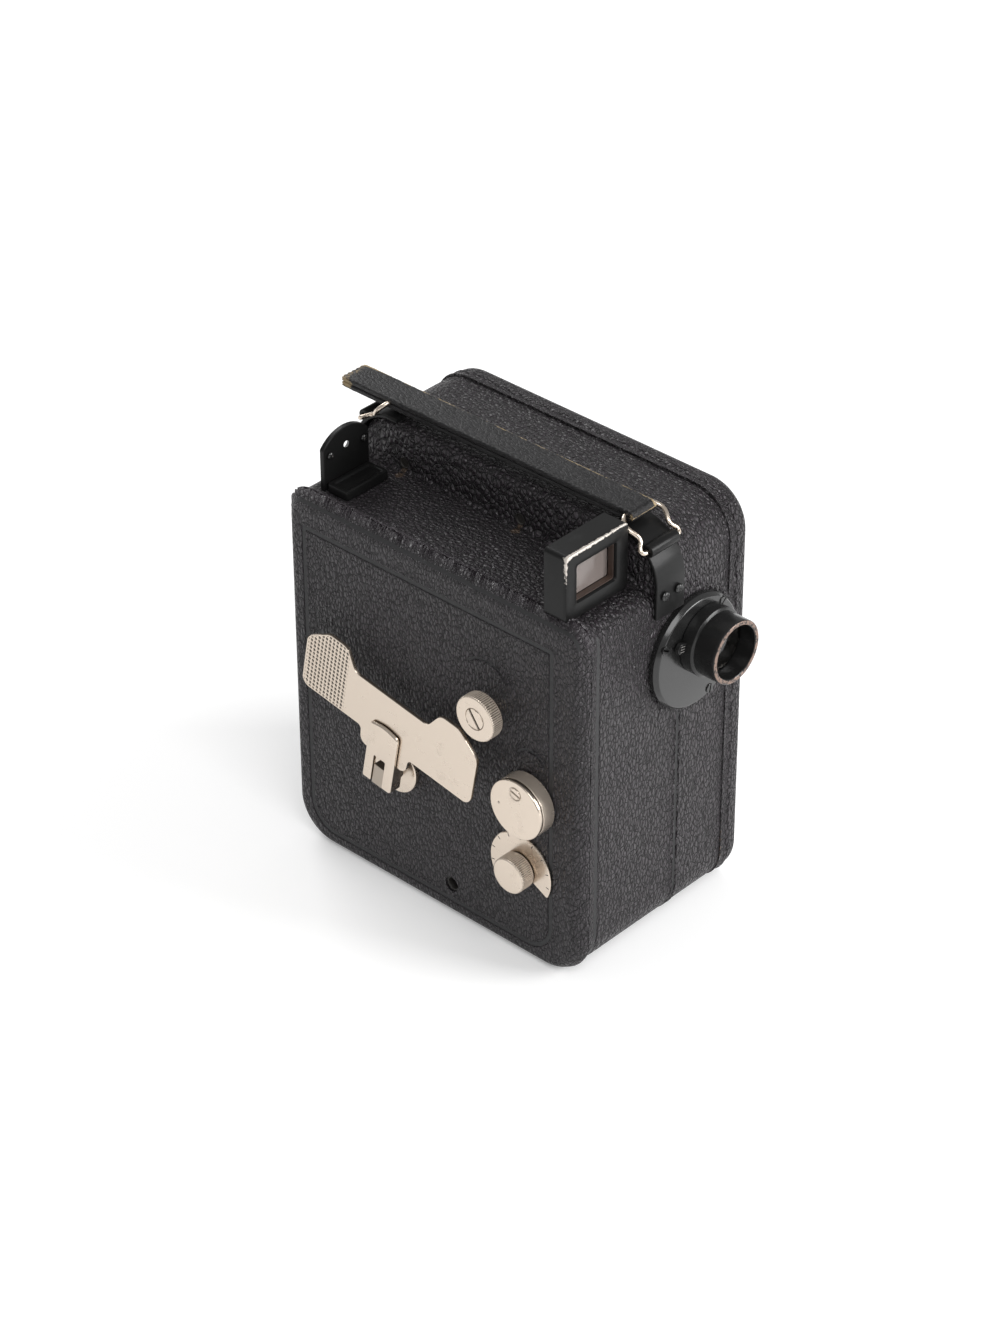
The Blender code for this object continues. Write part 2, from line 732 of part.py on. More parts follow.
def finder():
    """The finder's frame and glass at the front of the deck."""
    deck = LOW_HEIGHT + GAP
    place = Matrix.Translation((0, FINDER_FRONT, 0)) @ FRONT_TURN
    top = deck + FINDER_HEIGHT
    frame = rectangle(FINDER_LEFT, FINDER_RIGHT, deck, top, FINDER_CORNER)
    left = FINDER_LEFT + WINDOW_MARGIN
    right = FINDER_RIGHT - WINDOW_MARGIN
    low = deck + WINDOW_MARGIN
    high = top - WINDOW_MARGIN
    window = rectangle(left, right, low, high, WINDOW_CORNER)
    prism("finder_frame", [frame, window], -FINDER_DEPTH, 0, place, "enamel")
    glass = rectangle(left + GAP, right - GAP, low + GAP, high - GAP, WINDOW_CORNER)
    back = -FINDER_GLASS_DEPTH - FINDER_GLASS_THICK
    prism("finder_glass", [glass], back, -FINDER_GLASS_DEPTH, place, "glass")


def rear_sight():
    """The rear sight: a padded base, an upright plate with a peep hole, and two rivets."""
    deck = LOW_HEIGHT + GAP
    half = SIGHT_BASE_WIDTH / 2
    rear = SIGHT_FRONT + SIGHT_BASE_DEPTH
    top = deck + SIGHT_BASE_HEIGHT
    base = box("sight_base", (SIGHT_X - half, SIGHT_FRONT, deck), (SIGHT_X + half, rear, top), None, "enamel")
    inner = half - SIGHT_PAD_RIM
    low = (SIGHT_X - inner, SIGHT_FRONT + SIGHT_PAD_RIM, top - SIGHT_PAD_DEPTH)
    cut(base, box("sight_pad", low, (SIGHT_X + inner, rear - SIGHT_PAD_RIM, top + SIGHT_PAD_DEPTH)))
    place = Matrix.Translation((SIGHT_X, rear + GAP + SIGHT_THICK, deck)) @ FRONT_TURN
    side = SIGHT_WIDTH / 2
    crown = SIGHT_HEIGHT - SIGHT_ARC_RADIUS
    tilt = math.degrees(math.acos(side / SIGHT_ARC_RADIUS))
    outline = [Vector((-side, 0)), Vector((side, 0))]
    outline += arc(0, crown, SIGHT_ARC_RADIUS, tilt, 180 - tilt, 2 * ARC_STEPS)
    peep = circle(0, PEEP_HEIGHT, PEEP_RADIUS)
    prism("sight_plate", [outline, peep], 0, SIGHT_THICK, place, "enamel")
    for name, sign in (("sight_rivet_left", -1), ("sight_rivet_right", 1)):
        spot = place @ Matrix.Translation((sign * RIVET_SPREAD, RIVET_LEVEL, SIGHT_THICK + GAP))
        rod(name, RIVET_RADIUS, 0, RIVET_HEIGHT, spot, "nickel")


def strap_end(sign):
    """Where a wire loop turns and where its crossbar lies, as (y, z): sign is -1 in front, 1 behind."""
    centre = Vector((sign * (REAR_Y - CORNER_RADIUS), TALL_HEIGHT - CORNER_RADIUS))
    diagonal = Vector((sign, 1)).normalized()
    seat = CORNER_RADIUS + GAP + BRACKET_STOCK
    pivot = centre + diagonal * (seat + BARREL_STAND)
    rise = math.radians(LOOP_RISE)
    crossbar = pivot + Vector((-sign * math.cos(rise), math.sin(rise))) * LOOP_LENGTH
    return pivot, crossbar


def strap_bracket(name, sign):
    """A strip bent round the casing's top corner, with a barrel for the wire loop and two screws."""
    inner = CORNER_RADIUS + GAP
    outer = inner + BRACKET_STOCK
    u = sign * (REAR_Y - CORNER_RADIUS)
    v = TALL_HEIGHT - CORNER_RADIUS
    start = 0.0 if sign > 0 else 180.0
    foot = TALL_HEIGHT - BRACKET_LEG - BRACKET_TONGUE
    outline = [Vector((u + sign * inner, foot)), Vector((u + sign * outer, foot))]
    outline += arc(u, v, outer, start, 90.0, ARC_STEPS)
    tongue = u - sign * BRACKET_TONGUE
    outline += [Vector((tongue, v + outer)), Vector((tongue, v + inner))]
    outline += arc(u, v, inner, 90.0, start, ARC_STEPS)
    half = BRACKET_WIDTH / 2
    bracket = prism(name, [outline], -half, half, across(STRAP_X, 0, 0), "enamel")
    pivot, _ = strap_end(sign)
    place = across(STRAP_X, pivot.x, pivot.y)
    join(bracket, rod(name + "_barrel", BARREL_RADIUS, -half, half, place))
    cut(bracket, rod(name + "_bore", WIRE_RADIUS + GAP, -half - WALL, half + WALL, place))
    for side, offset in (("left", -BRACKET_SCREW_SPREAD), ("right", BRACKET_SCREW_SPREAD)):
        seat = u + sign * (outer + GAP)
        spot = Matrix.Translation((STRAP_X + offset, seat, TALL_HEIGHT - BRACKET_SCREW_DROP))
        spot = spot @ (FRONT_TURN if sign < 0 else Matrix.Rotation(math.pi, 4, "Z") @ FRONT_TURN)
        rod(f"{name}_screw_{side}", BRACKET_SCREW_RADIUS, 0, BRACKET_SCREW_HEIGHT, spot, "enamel")


def wire_loop(name, sign):
    """A bent wire whose ends turn in the bracket's barrel and whose crossbar carries the strap."""
    pivot, crossbar = strap_end(sign)
    half = BRACKET_WIDTH / 2 + GAP + WIRE_RADIUS
    reach = crossbar - pivot
    outline = rounded(
        [(half - 2 * LOOP_BEND, 0, 0), (half, 0, LOOP_BEND), (half, reach.length, LOOP_BEND)], ARC_STEPS // 2
    )[: -ARC_STEPS // 2 - 1]
    bend = arc(half - LOOP_BEND, reach.length - LOOP_BEND, LOOP_BEND, 0, 90, ARC_STEPS // 2)
    half_path = outline + bend
    path = [(-u, v) for u, v in half_path] + [(u, v) for u, v in reversed(half_path)]
    curve = bpy.data.curves.new(name, "CURVE")
    curve.dimensions = "3D"
    curve.bevel_depth = WIRE_RADIUS
    curve.bevel_resolution = 2
    curve.use_fill_caps = True
    spline = curve.splines.new("POLY")
    spline.points.add(len(path) - 1)
    along = reach.normalized()
    for point, (u, v) in zip(spline.points, path):
        point.co = (u, along.x * v, along.y * v, 1.0)
    item = bpy.data.objects.new(name, curve)
    item.matrix_world = Matrix.Translation((STRAP_X, pivot.x, pivot.y))
    return finish(item, "nickel")


def strap():
    """The leather strap: a doubled band with a long hole for each crossbar."""
    _, front = strap_end(-1)
    _, rear = strap_end(1)
    hole = WIRE_RADIUS + GAP
    tip = front.x - STRAP_LIFT - hole - STRAP_TIP_WALL
    under = front.y - STRAP_THICK / 2
    loops = [rectangle(tip, STRAP_TAIL, under, under + STRAP_THICK, STRAP_EDGE)]
    for sign, bar in ((-1, front), (1, rear)):
        ends = sorted((bar.x, bar.x + sign * STRAP_LIFT))
        loops.append(rectangle(ends[0] - hole, ends[1] + hole, bar.y - hole, bar.y + hole, hole * FULL_ROUND))
    half = STRAP_WIDTH / 2
    prism("strap", loops, -half, half, across(STRAP_X, 0, 0), "hide")


def winding_key(pieces):
    """The folding key: a plate on a channel, hinged by a pin on the flat lug of the winding shaft."""
    place = on_side(WIND_Y, WIND_Z, math.radians(-KEY_TILT))
    cut(pieces["side_cover"], side_bore("winding_bore", WIND_Y, WIND_Z, SHAFT_RADIUS + GAP))
    boss_top = GAP + BOSS_THICK
    ring("winding_boss", BOSS_RADIUS, SHAFT_RADIUS + GAP, GAP, boss_top, place, "nickel")
    shaft = rod("winding_shaft", SHAFT_RADIUS, -PLATE_DEPTH - PLATE_THICK, boss_top + GAP, place, "nickel")
    half_lug = LUG_WIDTH / 2
    low = (-LUG_BELOW, -half_lug, boss_top)
    join(shaft, box("lug", low, (LUG_ABOVE, half_lug, LUG_REACH), place))
    pin_place = place @ Matrix.Translation((0, 0, PIN_STAND)) @ Matrix.Rotation(-math.pi / 2, 4, "X")
    half = CHANNEL_WIDTH / 2
    eye = half - CHANNEL_STOCK - GAP
    join(shaft, rod("lug_eye", EYE_RADIUS, -eye, eye, pin_place))
    bore = rod("pin_bore", PIN_RADIUS + GAP, -half - WALL, half + WALL, pin_place)
    cut(shaft, bore)
    rod("key_pin", PIN_RADIUS, -half, half, pin_place, "steel")
    web_low = KEY_STAND + KEY_STOCK + GAP
    web_high = web_low + WEB_STOCK
    slot = SLOT_WIDTH / 2
    corner = CHANNEL_STOCK
    web = rounded(
        [
            (-CHANNEL_FOOT, -half, corner),
            (-CHANNEL_FOOT, -slot, 0),
            (SLOT_TOP, -slot, 0),
            (SLOT_TOP, slot, 0),
            (-CHANNEL_FOOT, slot, 0),
            (-CHANNEL_FOOT, half, corner),
            (CHANNEL_TOP - CHANNEL_BOW, half, corner),
            (CHANNEL_TOP, 0, CHANNEL_BOW_RADIUS),
            (CHANNEL_TOP - CHANNEL_BOW, -half, corner),
        ],
        ARC_STEPS // 2,
    )
    bracket = prism("key_bracket", [web], web_low, web_high, place, "nickel")
    for index, (start, end) in enumerate(((-half, CHANNEL_STOCK - half), (half - CHANNEL_STOCK, half))):
        cheek_low = (-CHANNEL_FOOT, start, CHEEK_BACK)
        cheek_high = (CHEEK_TOP, end, (web_low + web_high) / 2)
        join(bracket, box(f"cheek_{index}", cheek_low, cheek_high, place))
    cut(bracket, bore)
    key_plate(place)


def key_plate(place):
    """The key's flat plate: two wings with a hump on each, a saddle between them and a tab below."""
    tab = KEY_TAB_WIDTH / 2
    wing = [
        (KEY_TAB_FOOT, tab, KEY_TAB_CORNER),
        (KEY_FOOT, tab + GAP, KEY_ROOT_CORNER),
        (KEY_FOOT, KEY_SPAN, KEY_WING_CORNER),
        (KEY_SHOULDER, KEY_SPAN, KEY_SHOULDER_CORNER),
        (KEY_HUMP, KEY_HUMP_TO, KEY_SHOULDER_CORNER),
        (KEY_HUMP, KEY_HUMP_FROM, KEY_HUMP_CORNER),
        (KEY_SADDLE, KEY_VALLEY_AT, KEY_WING_CORNER),
    ]
    corners = wing + [(v, -u, radius) for v, u, radius in reversed(wing)]
    prism("key_plate", [rounded(corners)], KEY_STAND, KEY_STAND + KEY_STOCK, place, "nickel")


def knurled_knob(name, radius, teeth, low, high, place):
    """A round knob with straight knurling and a stem through the side cover."""
    knob = prism(name, [toothed(radius, KNURL_DEPTH, teeth)], low, high, place, "nickel")
    join(knob, rod(name + "_stem", STEM_RADIUS, -STEM_DEPTH, low + GAP, place))
    return knob


def side_knobs(pieces):
    """The release, counter and speed knobs, the speed dial and the release socket."""
    cover = pieces["side_cover"]
    for name, y, z in (
        ("release_bore", RELEASE_Y, RELEASE_Z),
        ("counter_bore", COUNTER_Y, COUNTER_Z),
        ("speed_bore", SPEED_Y, SPEED_Z),
    ):
        cut(cover, side_bore(name, y, z, SIDE_HOLE))
    cut(cover, side_bore("socket_bore", SOCKET_Y, SOCKET_Z, SOCKET_RADIUS + GAP))
    place = on_side(RELEASE_Y, RELEASE_Z)
    top = GAP + RELEASE_DRUM
    profile = [(0, top), (RELEASE_RADIUS, top), (RELEASE_RADIUS, GAP), (STEM_RADIUS, GAP)]
    profile += [(STEM_RADIUS, -STEM_DEPTH), (0, -STEM_DEPTH)]
    turned("release_knob", profile, place, "nickel")
    cap_top = top + GAP + RELEASE_CAP
    edge = RELEASE_RADIUS - RELEASE_EDGE
    profile = [(0, cap_top), (edge, cap_top), (RELEASE_RADIUS, cap_top - RELEASE_EDGE)]
    profile += [(RELEASE_RADIUS, top + GAP), (0, top + GAP)]
    cap = turned("release_cap", profile, place, "nickel")
    spot = place @ Matrix.Translation((CAP_SCREW_OFFSET, 0, 0))
    cut(cap, rod("cap_screw_seat", CAP_SCREW_RADIUS + GAP, cap_top - SCREW_HEAD - GAP, cap_top + WALL, spot))
    rod("cap_screw", CAP_SCREW_RADIUS, cap_top - SCREW_HEAD, cap_top, spot, "nickel")
    place = on_side(COUNTER_Y, COUNTER_Z)
    high = COUNTER_STAND + COUNTER_THICK
    counter = knurled_knob("counter_knob", COUNTER_RADIUS, COUNTER_TEETH, COUNTER_STAND, high, place)
    floor = high - 2 * SCREW_HEAD
    cut(counter, rod("counter_screw_seat", COUNTER_SCREW_RADIUS + GAP, floor - GAP, high + WALL, place))
    rod("counter_screw", COUNTER_SCREW_RADIUS, floor, high, place, "nickel")
    place = on_side(SPEED_Y, SPEED_Z)
    dial = arc(0, 0, DIAL_RADIUS, -DIAL_SPREAD, DIAL_SPREAD, 4 * ARC_STEPS)
    dial += arc(0, 0, DIAL_NOTCH, DIAL_SPREAD, -DIAL_SPREAD, 4 * ARC_STEPS)
    prism("speed_dial", [dial], GAP, GAP + DIAL_THICK, place, "nickel")
    foot = 2 * GAP + DIAL_THICK
    knurled_knob("speed_knob", SPEED_RADIUS, SPEED_TEETH, foot, SPEED_REACH, place)
    place = on_side(SOCKET_Y, SOCKET_Z)
    ring("socket_bush", SOCKET_RADIUS, SOCKET_BORE, GAP - SOCKET_LENGTH, GAP, place, "enamel", SMALL)


def base(pieces):
    """The threaded bush for a stand, let into the bottom."""
    place = Matrix.Translation((TRIPOD_X, TRIPOD_Y, 0))
    cut(pieces["body_shell"], rod("tripod_bore", TRIPOD_RADIUS + GAP, -WALL, 2 * WALL, place, None, ROUND))
    ring("tripod_bush", TRIPOD_RADIUS, TRIPOD_BORE, GAP, TRIPOD_HEIGHT, place, "brass", ROUND)


def train_axis(distance, degrees=TRAIN_ANGLE, start=None):
    """A point of the gear train in the side plane, as (y, z)."""
    angle = math.radians(degrees)
    return (start or Vector((WIND_Y, WIND_Z))) + Vector((math.cos(angle), math.sin(angle))) * distance


SECOND_AXIS = train_axis(GEAR_RADIUS + GAP + SECOND_PINION)
THIRD_AXIS = train_axis(SECOND_WHEEL + GAP + THIRD_PINION, TRAIN_ANGLE, SECOND_AXIS)
GOVERNOR_AXIS = train_axis(SECOND_WHEEL + GAP + GOVERNOR_PINION, GOVERNOR_ANGLE, SECOND_AXIS)
SHUTTER_Z = THIRD_AXIS.y


def centre_plate():
    """The plate that carries the clockwork on one face and the film's path on the other."""
    edge = WALL + GAP
    corner = CORNER_RADIUS - WALL
    notch_low = SHUTTER_Z - SHUTTER_RADIUS - PLATE_NOTCH_MARGIN
    notch_high = SHUTTER_Z + SHUTTER_RADIUS + PLATE_NOTCH_MARGIN
    front = FRONT_Y + edge
    rear = REAR_Y - edge
    top = TALL_HEIGHT - edge
    outline = rounded(
        [
            (front, edge, corner),
            (rear, edge, corner),
            (rear, top, corner),
            (front, top, corner),
            (front, notch_high, 0),
            (PLATE_NOTCH_Y, notch_high, 0),
            (PLATE_NOTCH_Y, notch_low, 0),
            (front, notch_low, 0),
        ]
    )
    loops = [outline, circle(WIND_Y, WIND_Z, SHAFT_RADIUS + GAP)]
    for axis in (SECOND_AXIS, THIRD_AXIS, GOVERNOR_AXIS):
        loops.append(circle(axis.x, axis.y, ARBOR_RADIUS + GAP))
    prism("centre_plate", loops, PLATE_X, PLATE_END, across(0, 0, 0), "aluminium")


def spring_motor():
    """The spring barrel with its gear, the coiled spring, and the ratchet and click that hold it wound."""
    place = on_side(WIND_Y, WIND_Z)
    bore = SHAFT_RADIUS + GAP
    wheel = [toothed(GEAR_RADIUS, TOOTH_DEPTH, GEAR_TEETH), circle(0, 0, bore)]
    barrel = prism("spring_barrel", wheel, -SPRING_TO, GEAR_THICK - SPRING_TO, place, "brass")
    wall = SPRING_RADIUS - SPRING_WALL
    floor = GEAR_THICK - SPRING_TO
    wall_low = floor - OVERLAP
    join(barrel, ring("barrel_wall", SPRING_RADIUS, wall, wall_low, -SPRING_FROM, place, None, HIDDEN))
    first = bore + COIL_STOCK
    last = wall - COIL_STOCK - GAP
    count = COIL_TURNS * SMALL
    spiral = []
    for step in range(count + 1):
        angle = 2 * math.pi * step / SMALL
        direction = Vector((math.cos(angle), math.sin(angle)))
        spiral.append((direction, first + (last - first) * step / count))
    outline = [direction * (radius + COIL_STOCK) for direction, radius in spiral]
    outline += [direction * radius for direction, radius in reversed(spiral)]
    prism("mainspring", [outline], floor + GAP, -SPRING_FROM - SPRING_WALL, place, "steel")
    ratchet = [saw_toothed(RATCHET_RADIUS, TOOTH_DEPTH, RATCHET_TEETH), circle(0, 0, bore)]
    low = -RATCHET_FROM - RATCHET_THICK
    prism("ratchet_wheel", ratchet, low, -RATCHET_FROM, place, "steel")
    click_place = click_frame()
    half = CLICK_WIDTH / 2
    tip = half / 4
    end = half * FULL_ROUND
    pawl = rounded(
        [(-half, -half, end), (CLICK_LENGTH, tip - half, 0), (CLICK_LENGTH, tip, 0), (-half, half, end)]
    )
    pivot_bore = circle(0, 0, half / 2 + GAP)
    prism("click", [pawl, pivot_bore], low, -RATCHET_FROM, click_place, "steel")
    rod("click_stud", half / 2, GAP - PLATE_DEPTH, -RATCHET_FROM, click_place, "steel")


def click_frame():
    """The click's frame: its pivot beyond the ratchet's rim, its tip towards the teeth."""
    reach = RATCHET_RADIUS + CLICK_WIDTH / 2 + GAP
    pivot = Vector((WIND_Y, WIND_Z)) + Vector((-CLICK_LENGTH, -reach))
    return on_side(pivot.x, pivot.y, math.pi / 2)


def train_part(name, axis, profile, finish_name):
    """A turned wheel of the train, on its own arbor."""
    return turned(name, profile, on_side(axis.x, axis.y), finish_name, HIDDEN)


def gear_train():
    """The wheels between the spring barrel and the shutter, and the governor that holds their speed."""
    into_plate = -PLATE_DEPTH - PLATE_THICK
    pinion_out = GEAR_THICK + GAP - SPRING_TO
    wheel_out = -RATCHET_FROM - GAP
    wheel_in = wheel_out - WHEEL_THICK
    profile = [(0, pinion_out), (SECOND_PINION, pinion_out), (SECOND_PINION, -SPRING_TO)]
    profile += [(ARBOR_RADIUS, -SPRING_TO), (ARBOR_RADIUS, into_plate), (0, into_plate)]
    second = train_part("second_wheel", SECOND_AXIS, profile, "brass")
    rim = [toothed(SECOND_WHEEL, TOOTH_DEPTH, SECOND_TEETH)]
    join(second, prism("second_rim", rim, wheel_in, wheel_out, on_side(SECOND_AXIS.x, SECOND_AXIS.y)))
    crown_near = -PLATE_DEPTH - PLATE_THICK - GAP
    crown_far = crown_near - CROWN_THICK
    profile = [(0, wheel_out), (THIRD_PINION, wheel_out), (THIRD_PINION, wheel_in), (ARBOR_RADIUS, wheel_in)]
    profile += [(ARBOR_RADIUS, crown_near), (CROWN_RADIUS, crown_near), (CROWN_RADIUS, crown_far)]
    profile += [(0, crown_far)]
    train_part("third_wheel", THIRD_AXIS, profile, "brass")
    drum_out = -GOVERNOR_FROM
    drum_in = drum_out - GOVERNOR_LENGTH
    profile = [(0, drum_out), (GOVERNOR_RADIUS, drum_out), (GOVERNOR_RADIUS, drum_in)]
    profile += [(ARBOR_RADIUS, drum_in), (ARBOR_RADIUS, wheel_out)]
    profile += [(GOVERNOR_PINION, wheel_out), (GOVERNOR_PINION, wheel_in)]
    profile += [(ARBOR_RADIUS, wheel_in), (ARBOR_RADIUS, into_plate), (0, into_plate)]
    train_part("governor", GOVERNOR_AXIS, profile, "brass")


def shutter():
    """The shutter's sector on its shaft, driven by the crown wheel behind it."""
    place = Matrix.Translation((SHUTTER_X, SHUTTER_Y, SHUTTER_Z)) @ FRONT_TURN
    crown_far = CHAMBER_X + CROWN_THICK
    pinion = SHUTTER_X - crown_far - GAP
    pinion_y = THIRD_AXIS.x - CROWN_RADIUS
    back = SHUTTER_Y - pinion_y - pinion
    sector = arc(0, 0, SHUTTER_RADIUS, SHUTTER_OPENING, 360.0, 4 * ARC_STEPS)
    sector += arc(0, 0, SHUTTER_HUB, 0.0, SHUTTER_OPENING, ARC_STEPS)
    blade = prism("shutter_disc", [sector], -SHUTTER_THICK, 0, place, "enamel")
    front = back + SHUTTER_PINION_LENGTH
    profile = [(0, 0), (ARBOR_RADIUS, 0), (ARBOR_RADIUS, front), (pinion, front), (pinion, back), (0, back)]
    join(blade, turned("shutter_shaft", profile, place, None, SMALL))


def film_gate():
    """The gate with its picture window, the pressure plate behind it and the claw in front."""
    place = Matrix.Translation((0, GATE_Y, 0)) @ FRONT_TURN
    outline = rectangle(CHAMBER_X, GATE_RIGHT, GATE_BOTTOM, GATE_TOP)
    half_width = GATE_WINDOW_WIDTH / 2
    half_height = GATE_WINDOW_HEIGHT / 2
    window = rectangle(LENS_X - half_width, LENS_X + half_width, LENS_Z - half_height, LENS_Z + half_height)
    prism("gate_plate", [outline, window], -GATE_THICK, 0, place, "steel")
    half = FILM_WIDTH / 2
    reach = PRESSURE_HEIGHT / 2
    pressure = rectangle(LENS_X - half, LENS_X + half, LENS_Z - reach, LENS_Z + reach, PRESSURE_THICK)
    back = -GATE_THICK - GAP
    prism("pressure_plate", [pressure], back - PRESSURE_THICK, back, place, "steel")
    half = CLAW_WIDTH / 2
    low = (LENS_X - half, CLAW_TOP - CLAW_HEIGHT, GAP)
    box("claw", low, (LENS_X + half, CLAW_TOP, GAP + CLAW_LENGTH), place, "steel")


def film_spools():
    """The feed and take-up spools on their spindles."""
    half = FILM_WIDTH / 2 + GAP
    outer = half + SPOOL_FLANGE
    bore = SPINDLE_RADIUS + GAP
    profile = [
        (SPOOL_RADIUS, outer),
        (SPOOL_RADIUS, half),
        (SPOOL_CORE, half),
        (SPOOL_CORE, -half),
        (SPOOL_RADIUS, -half),
        (SPOOL_RADIUS, -outer),
        (bore, -outer),
        (bore, outer),
    ]
    for name, z in (("feed", FEED_Z), ("takeup", TAKEUP_Z)):
        place = across(LENS_X, SPOOL_Y, z)
        turned(name + "_spool", profile, place, "enamel", HIDDEN)
        near = CHAMBER_X - LENS_X
        rod(name + "_spindle", SPINDLE_RADIUS, near, outer + SPINDLE_BEYOND, place, "steel")


def main():
    """Build the camera, from its casing inwards."""
    pieces = casing()
    door_hinge(pieces)
    door_lock(pieces)
    lens(pieces)
    finder()
    rear_sight()
    for name, sign in (("front", -1), ("rear", 1)):
        strap_bracket(name + "_bracket", sign)
        wire_loop(name + "_loop", sign)
    strap()
    winding_key(pieces)
    side_knobs(pieces)
    base(pieces)
    centre_plate()
    spring_motor()
    gear_train()
    shutter()
    film_gate()
    film_spools()


main()
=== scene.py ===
"""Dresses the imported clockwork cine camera: leather skins, enamelled and nickelled fittings, strap and stage.

Every new surface is a function of two parameters worked out with numpy, in metres, in the frame of the CAD part.
X runs across the camera with the winding side at minus X, the lens looks along minus Y, and Z is up.
"""

import math

import bmesh
import bpy
import numpy as np
from bpy.props import FloatProperty, FloatVectorProperty, IntProperty, PointerProperty
from mathutils import Matrix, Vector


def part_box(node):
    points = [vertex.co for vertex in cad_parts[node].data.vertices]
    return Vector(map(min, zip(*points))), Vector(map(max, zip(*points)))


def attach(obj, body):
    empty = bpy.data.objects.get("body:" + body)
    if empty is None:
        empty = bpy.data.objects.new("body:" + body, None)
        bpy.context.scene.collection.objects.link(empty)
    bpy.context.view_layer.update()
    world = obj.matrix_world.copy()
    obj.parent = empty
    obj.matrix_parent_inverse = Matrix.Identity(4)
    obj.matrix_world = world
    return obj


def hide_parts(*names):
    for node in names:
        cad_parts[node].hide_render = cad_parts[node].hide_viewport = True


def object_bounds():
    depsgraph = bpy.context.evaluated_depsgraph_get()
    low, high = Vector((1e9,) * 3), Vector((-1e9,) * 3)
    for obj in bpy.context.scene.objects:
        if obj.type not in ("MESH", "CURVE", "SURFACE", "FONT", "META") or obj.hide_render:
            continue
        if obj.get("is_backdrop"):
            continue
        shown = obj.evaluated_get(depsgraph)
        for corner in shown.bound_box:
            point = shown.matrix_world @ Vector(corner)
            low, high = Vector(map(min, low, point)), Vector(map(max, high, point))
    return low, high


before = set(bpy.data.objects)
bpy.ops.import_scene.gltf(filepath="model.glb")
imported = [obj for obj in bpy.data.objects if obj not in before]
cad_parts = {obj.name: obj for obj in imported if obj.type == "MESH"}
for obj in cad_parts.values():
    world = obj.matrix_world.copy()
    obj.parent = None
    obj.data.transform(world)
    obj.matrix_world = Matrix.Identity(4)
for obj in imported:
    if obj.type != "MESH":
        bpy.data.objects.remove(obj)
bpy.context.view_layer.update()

bl_info = {
    "name": "Clockwork cine camera",
    "version": (1, 0, 0),
    "blender": (4, 5, 0),
    "location": "View3D > Sidebar > Cine camera",
    "description": "Builds the leather, enamel and nickel pieces of a clockwork cine camera around its CAD frame",
    "category": "Object",
}

MM = 0.001
TAU = 2 * math.pi
WELD_DISTANCE = 2e-7

# Local axes as columns: x, y and z of a fitting on the winding side, in front, behind and across the camera
SIDE_AXES = np.array(((0, 0, -1), (0, 1, 0), (1, 0, 0)), float)
FRONT_AXES = np.array(((1, 0, 0), (0, 0, -1), (0, 1, 0)), float)
REAR_AXES = np.array(((-1, 0, 0), (0, 0, 1), (0, 1, 0)), float)
ACROSS_AXES = np.array(((0, 0, 1), (1, 0, 0), (0, 1, 0)), float)


def mm(*values):
    """Numbers, or rows of numbers, given in millimetres, as an array in metres."""
    return np.array(values, float) * MM


def box_of(node):
    """The lowest and highest corner of a CAD node, as arrays."""
    low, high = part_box(node)
    return np.array(low), np.array(high)


def middle_of(node):
    """The middle of a CAD node's box."""
    return sum(box_of(node)) / 2


COVER_LOW, COVER_HIGH = box_of("side_cover")
BODY_LOW, BODY_HIGH = box_of("body_shell")
DOOR_LOW, DOOR_HIGH = box_of("film_door")
SIDE_X = COVER_LOW[0]
DOOR_X = DOOR_HIGH[0]
HALF_LENGTH = COVER_HIGH[1]
LOW_TOP = COVER_HIGH[2]
TALL_TOP = DOOR_HIGH[2]

# Places read from the photograph: the sunk screws' y, the pressed frames' lower and upper corners as (y, z), the
# pressed arcs' centre, radius, first and last angle, the scuff's y on the cover's edge, and the butt seam's x and top
SCREW_HOLES = mm(-6.5, 37.4)
COVER_FRAME = mm((-44.5, 5.2), (48.7, 107.2))
DOOR_FRAME = mm((-46, 9), (46, 122))
COVER_ARCS = ((mm(-20.5, 84), 9.8 * MM, 38.0, 150.0), (mm(-37.1, 65.5), 6.1 * MM, 30.0, 150.0))
SCUFF_Y = -26 * MM
BUTT_SEAM_X, BUTT_SEAM_TOP = mm(5.8, 72)
# Thickness of the strap brackets' strip, its gap over the casing, and the radius of its curled barrel
STRIP_STOCK, STRIP_GAP, STRIP_BARREL = mm(1.2, 0.3, 1.9)


def length(name, text, default):
    """A size in metres, with its default given in millimetres."""
    return FloatProperty(name=name, description=text, default=default * MM, unit="LENGTH", precision=5)


def share(name, text, default):
    """A plain number."""
    return FloatProperty(name=name, description=text, default=default, precision=3)


def colour(name, text, default):
    """A linear colour."""
    return FloatVectorProperty(name=name, description=text, default=default, subtype="COLOR", min=0.0, max=1.0)


class CineSizes(bpy.types.PropertyGroup):
    """Sizes of the dressed pieces that the CAD frame doesn't give."""

    skin_stand: length("Skin stand", "How far the leather stands off the casing", 0.15)
    corner_radius: length("Corner radius", "Large corners of the casing's side outline", 12.9)
    deck_radius: length("Deck radius", "Small corners of the low deck", 5.5)
    edge_fillet: length("Edge fillet", "Rounding along the casing's edges", 3.0)
    step_x: length("Step", "Where the tall film chamber starts", -5.0)
    ridge: length("Rolled edge", "Height of the rolled leather edge at the seams", 0.95)
    crumple: share("Crumple", "How much the rolled edge is wrinkled", 0.55)
    groove: length("Embossed line", "Depth of the lines pressed into the leather", 0.3)
    groove_width: length("Line width", "Half width of the lines pressed into the leather", 0.32)
    key_tilt: FloatProperty(
        name="Key tilt", description="Turn of the winding key", default=math.radians(10.3), subtype="ANGLE"
    )
    counter_teeth: IntProperty(name="Counter teeth", description="Knurls on the counter knob", default=64)
    speed_teeth: IntProperty(name="Speed teeth", description="Knurls on the speed knob", default=56)


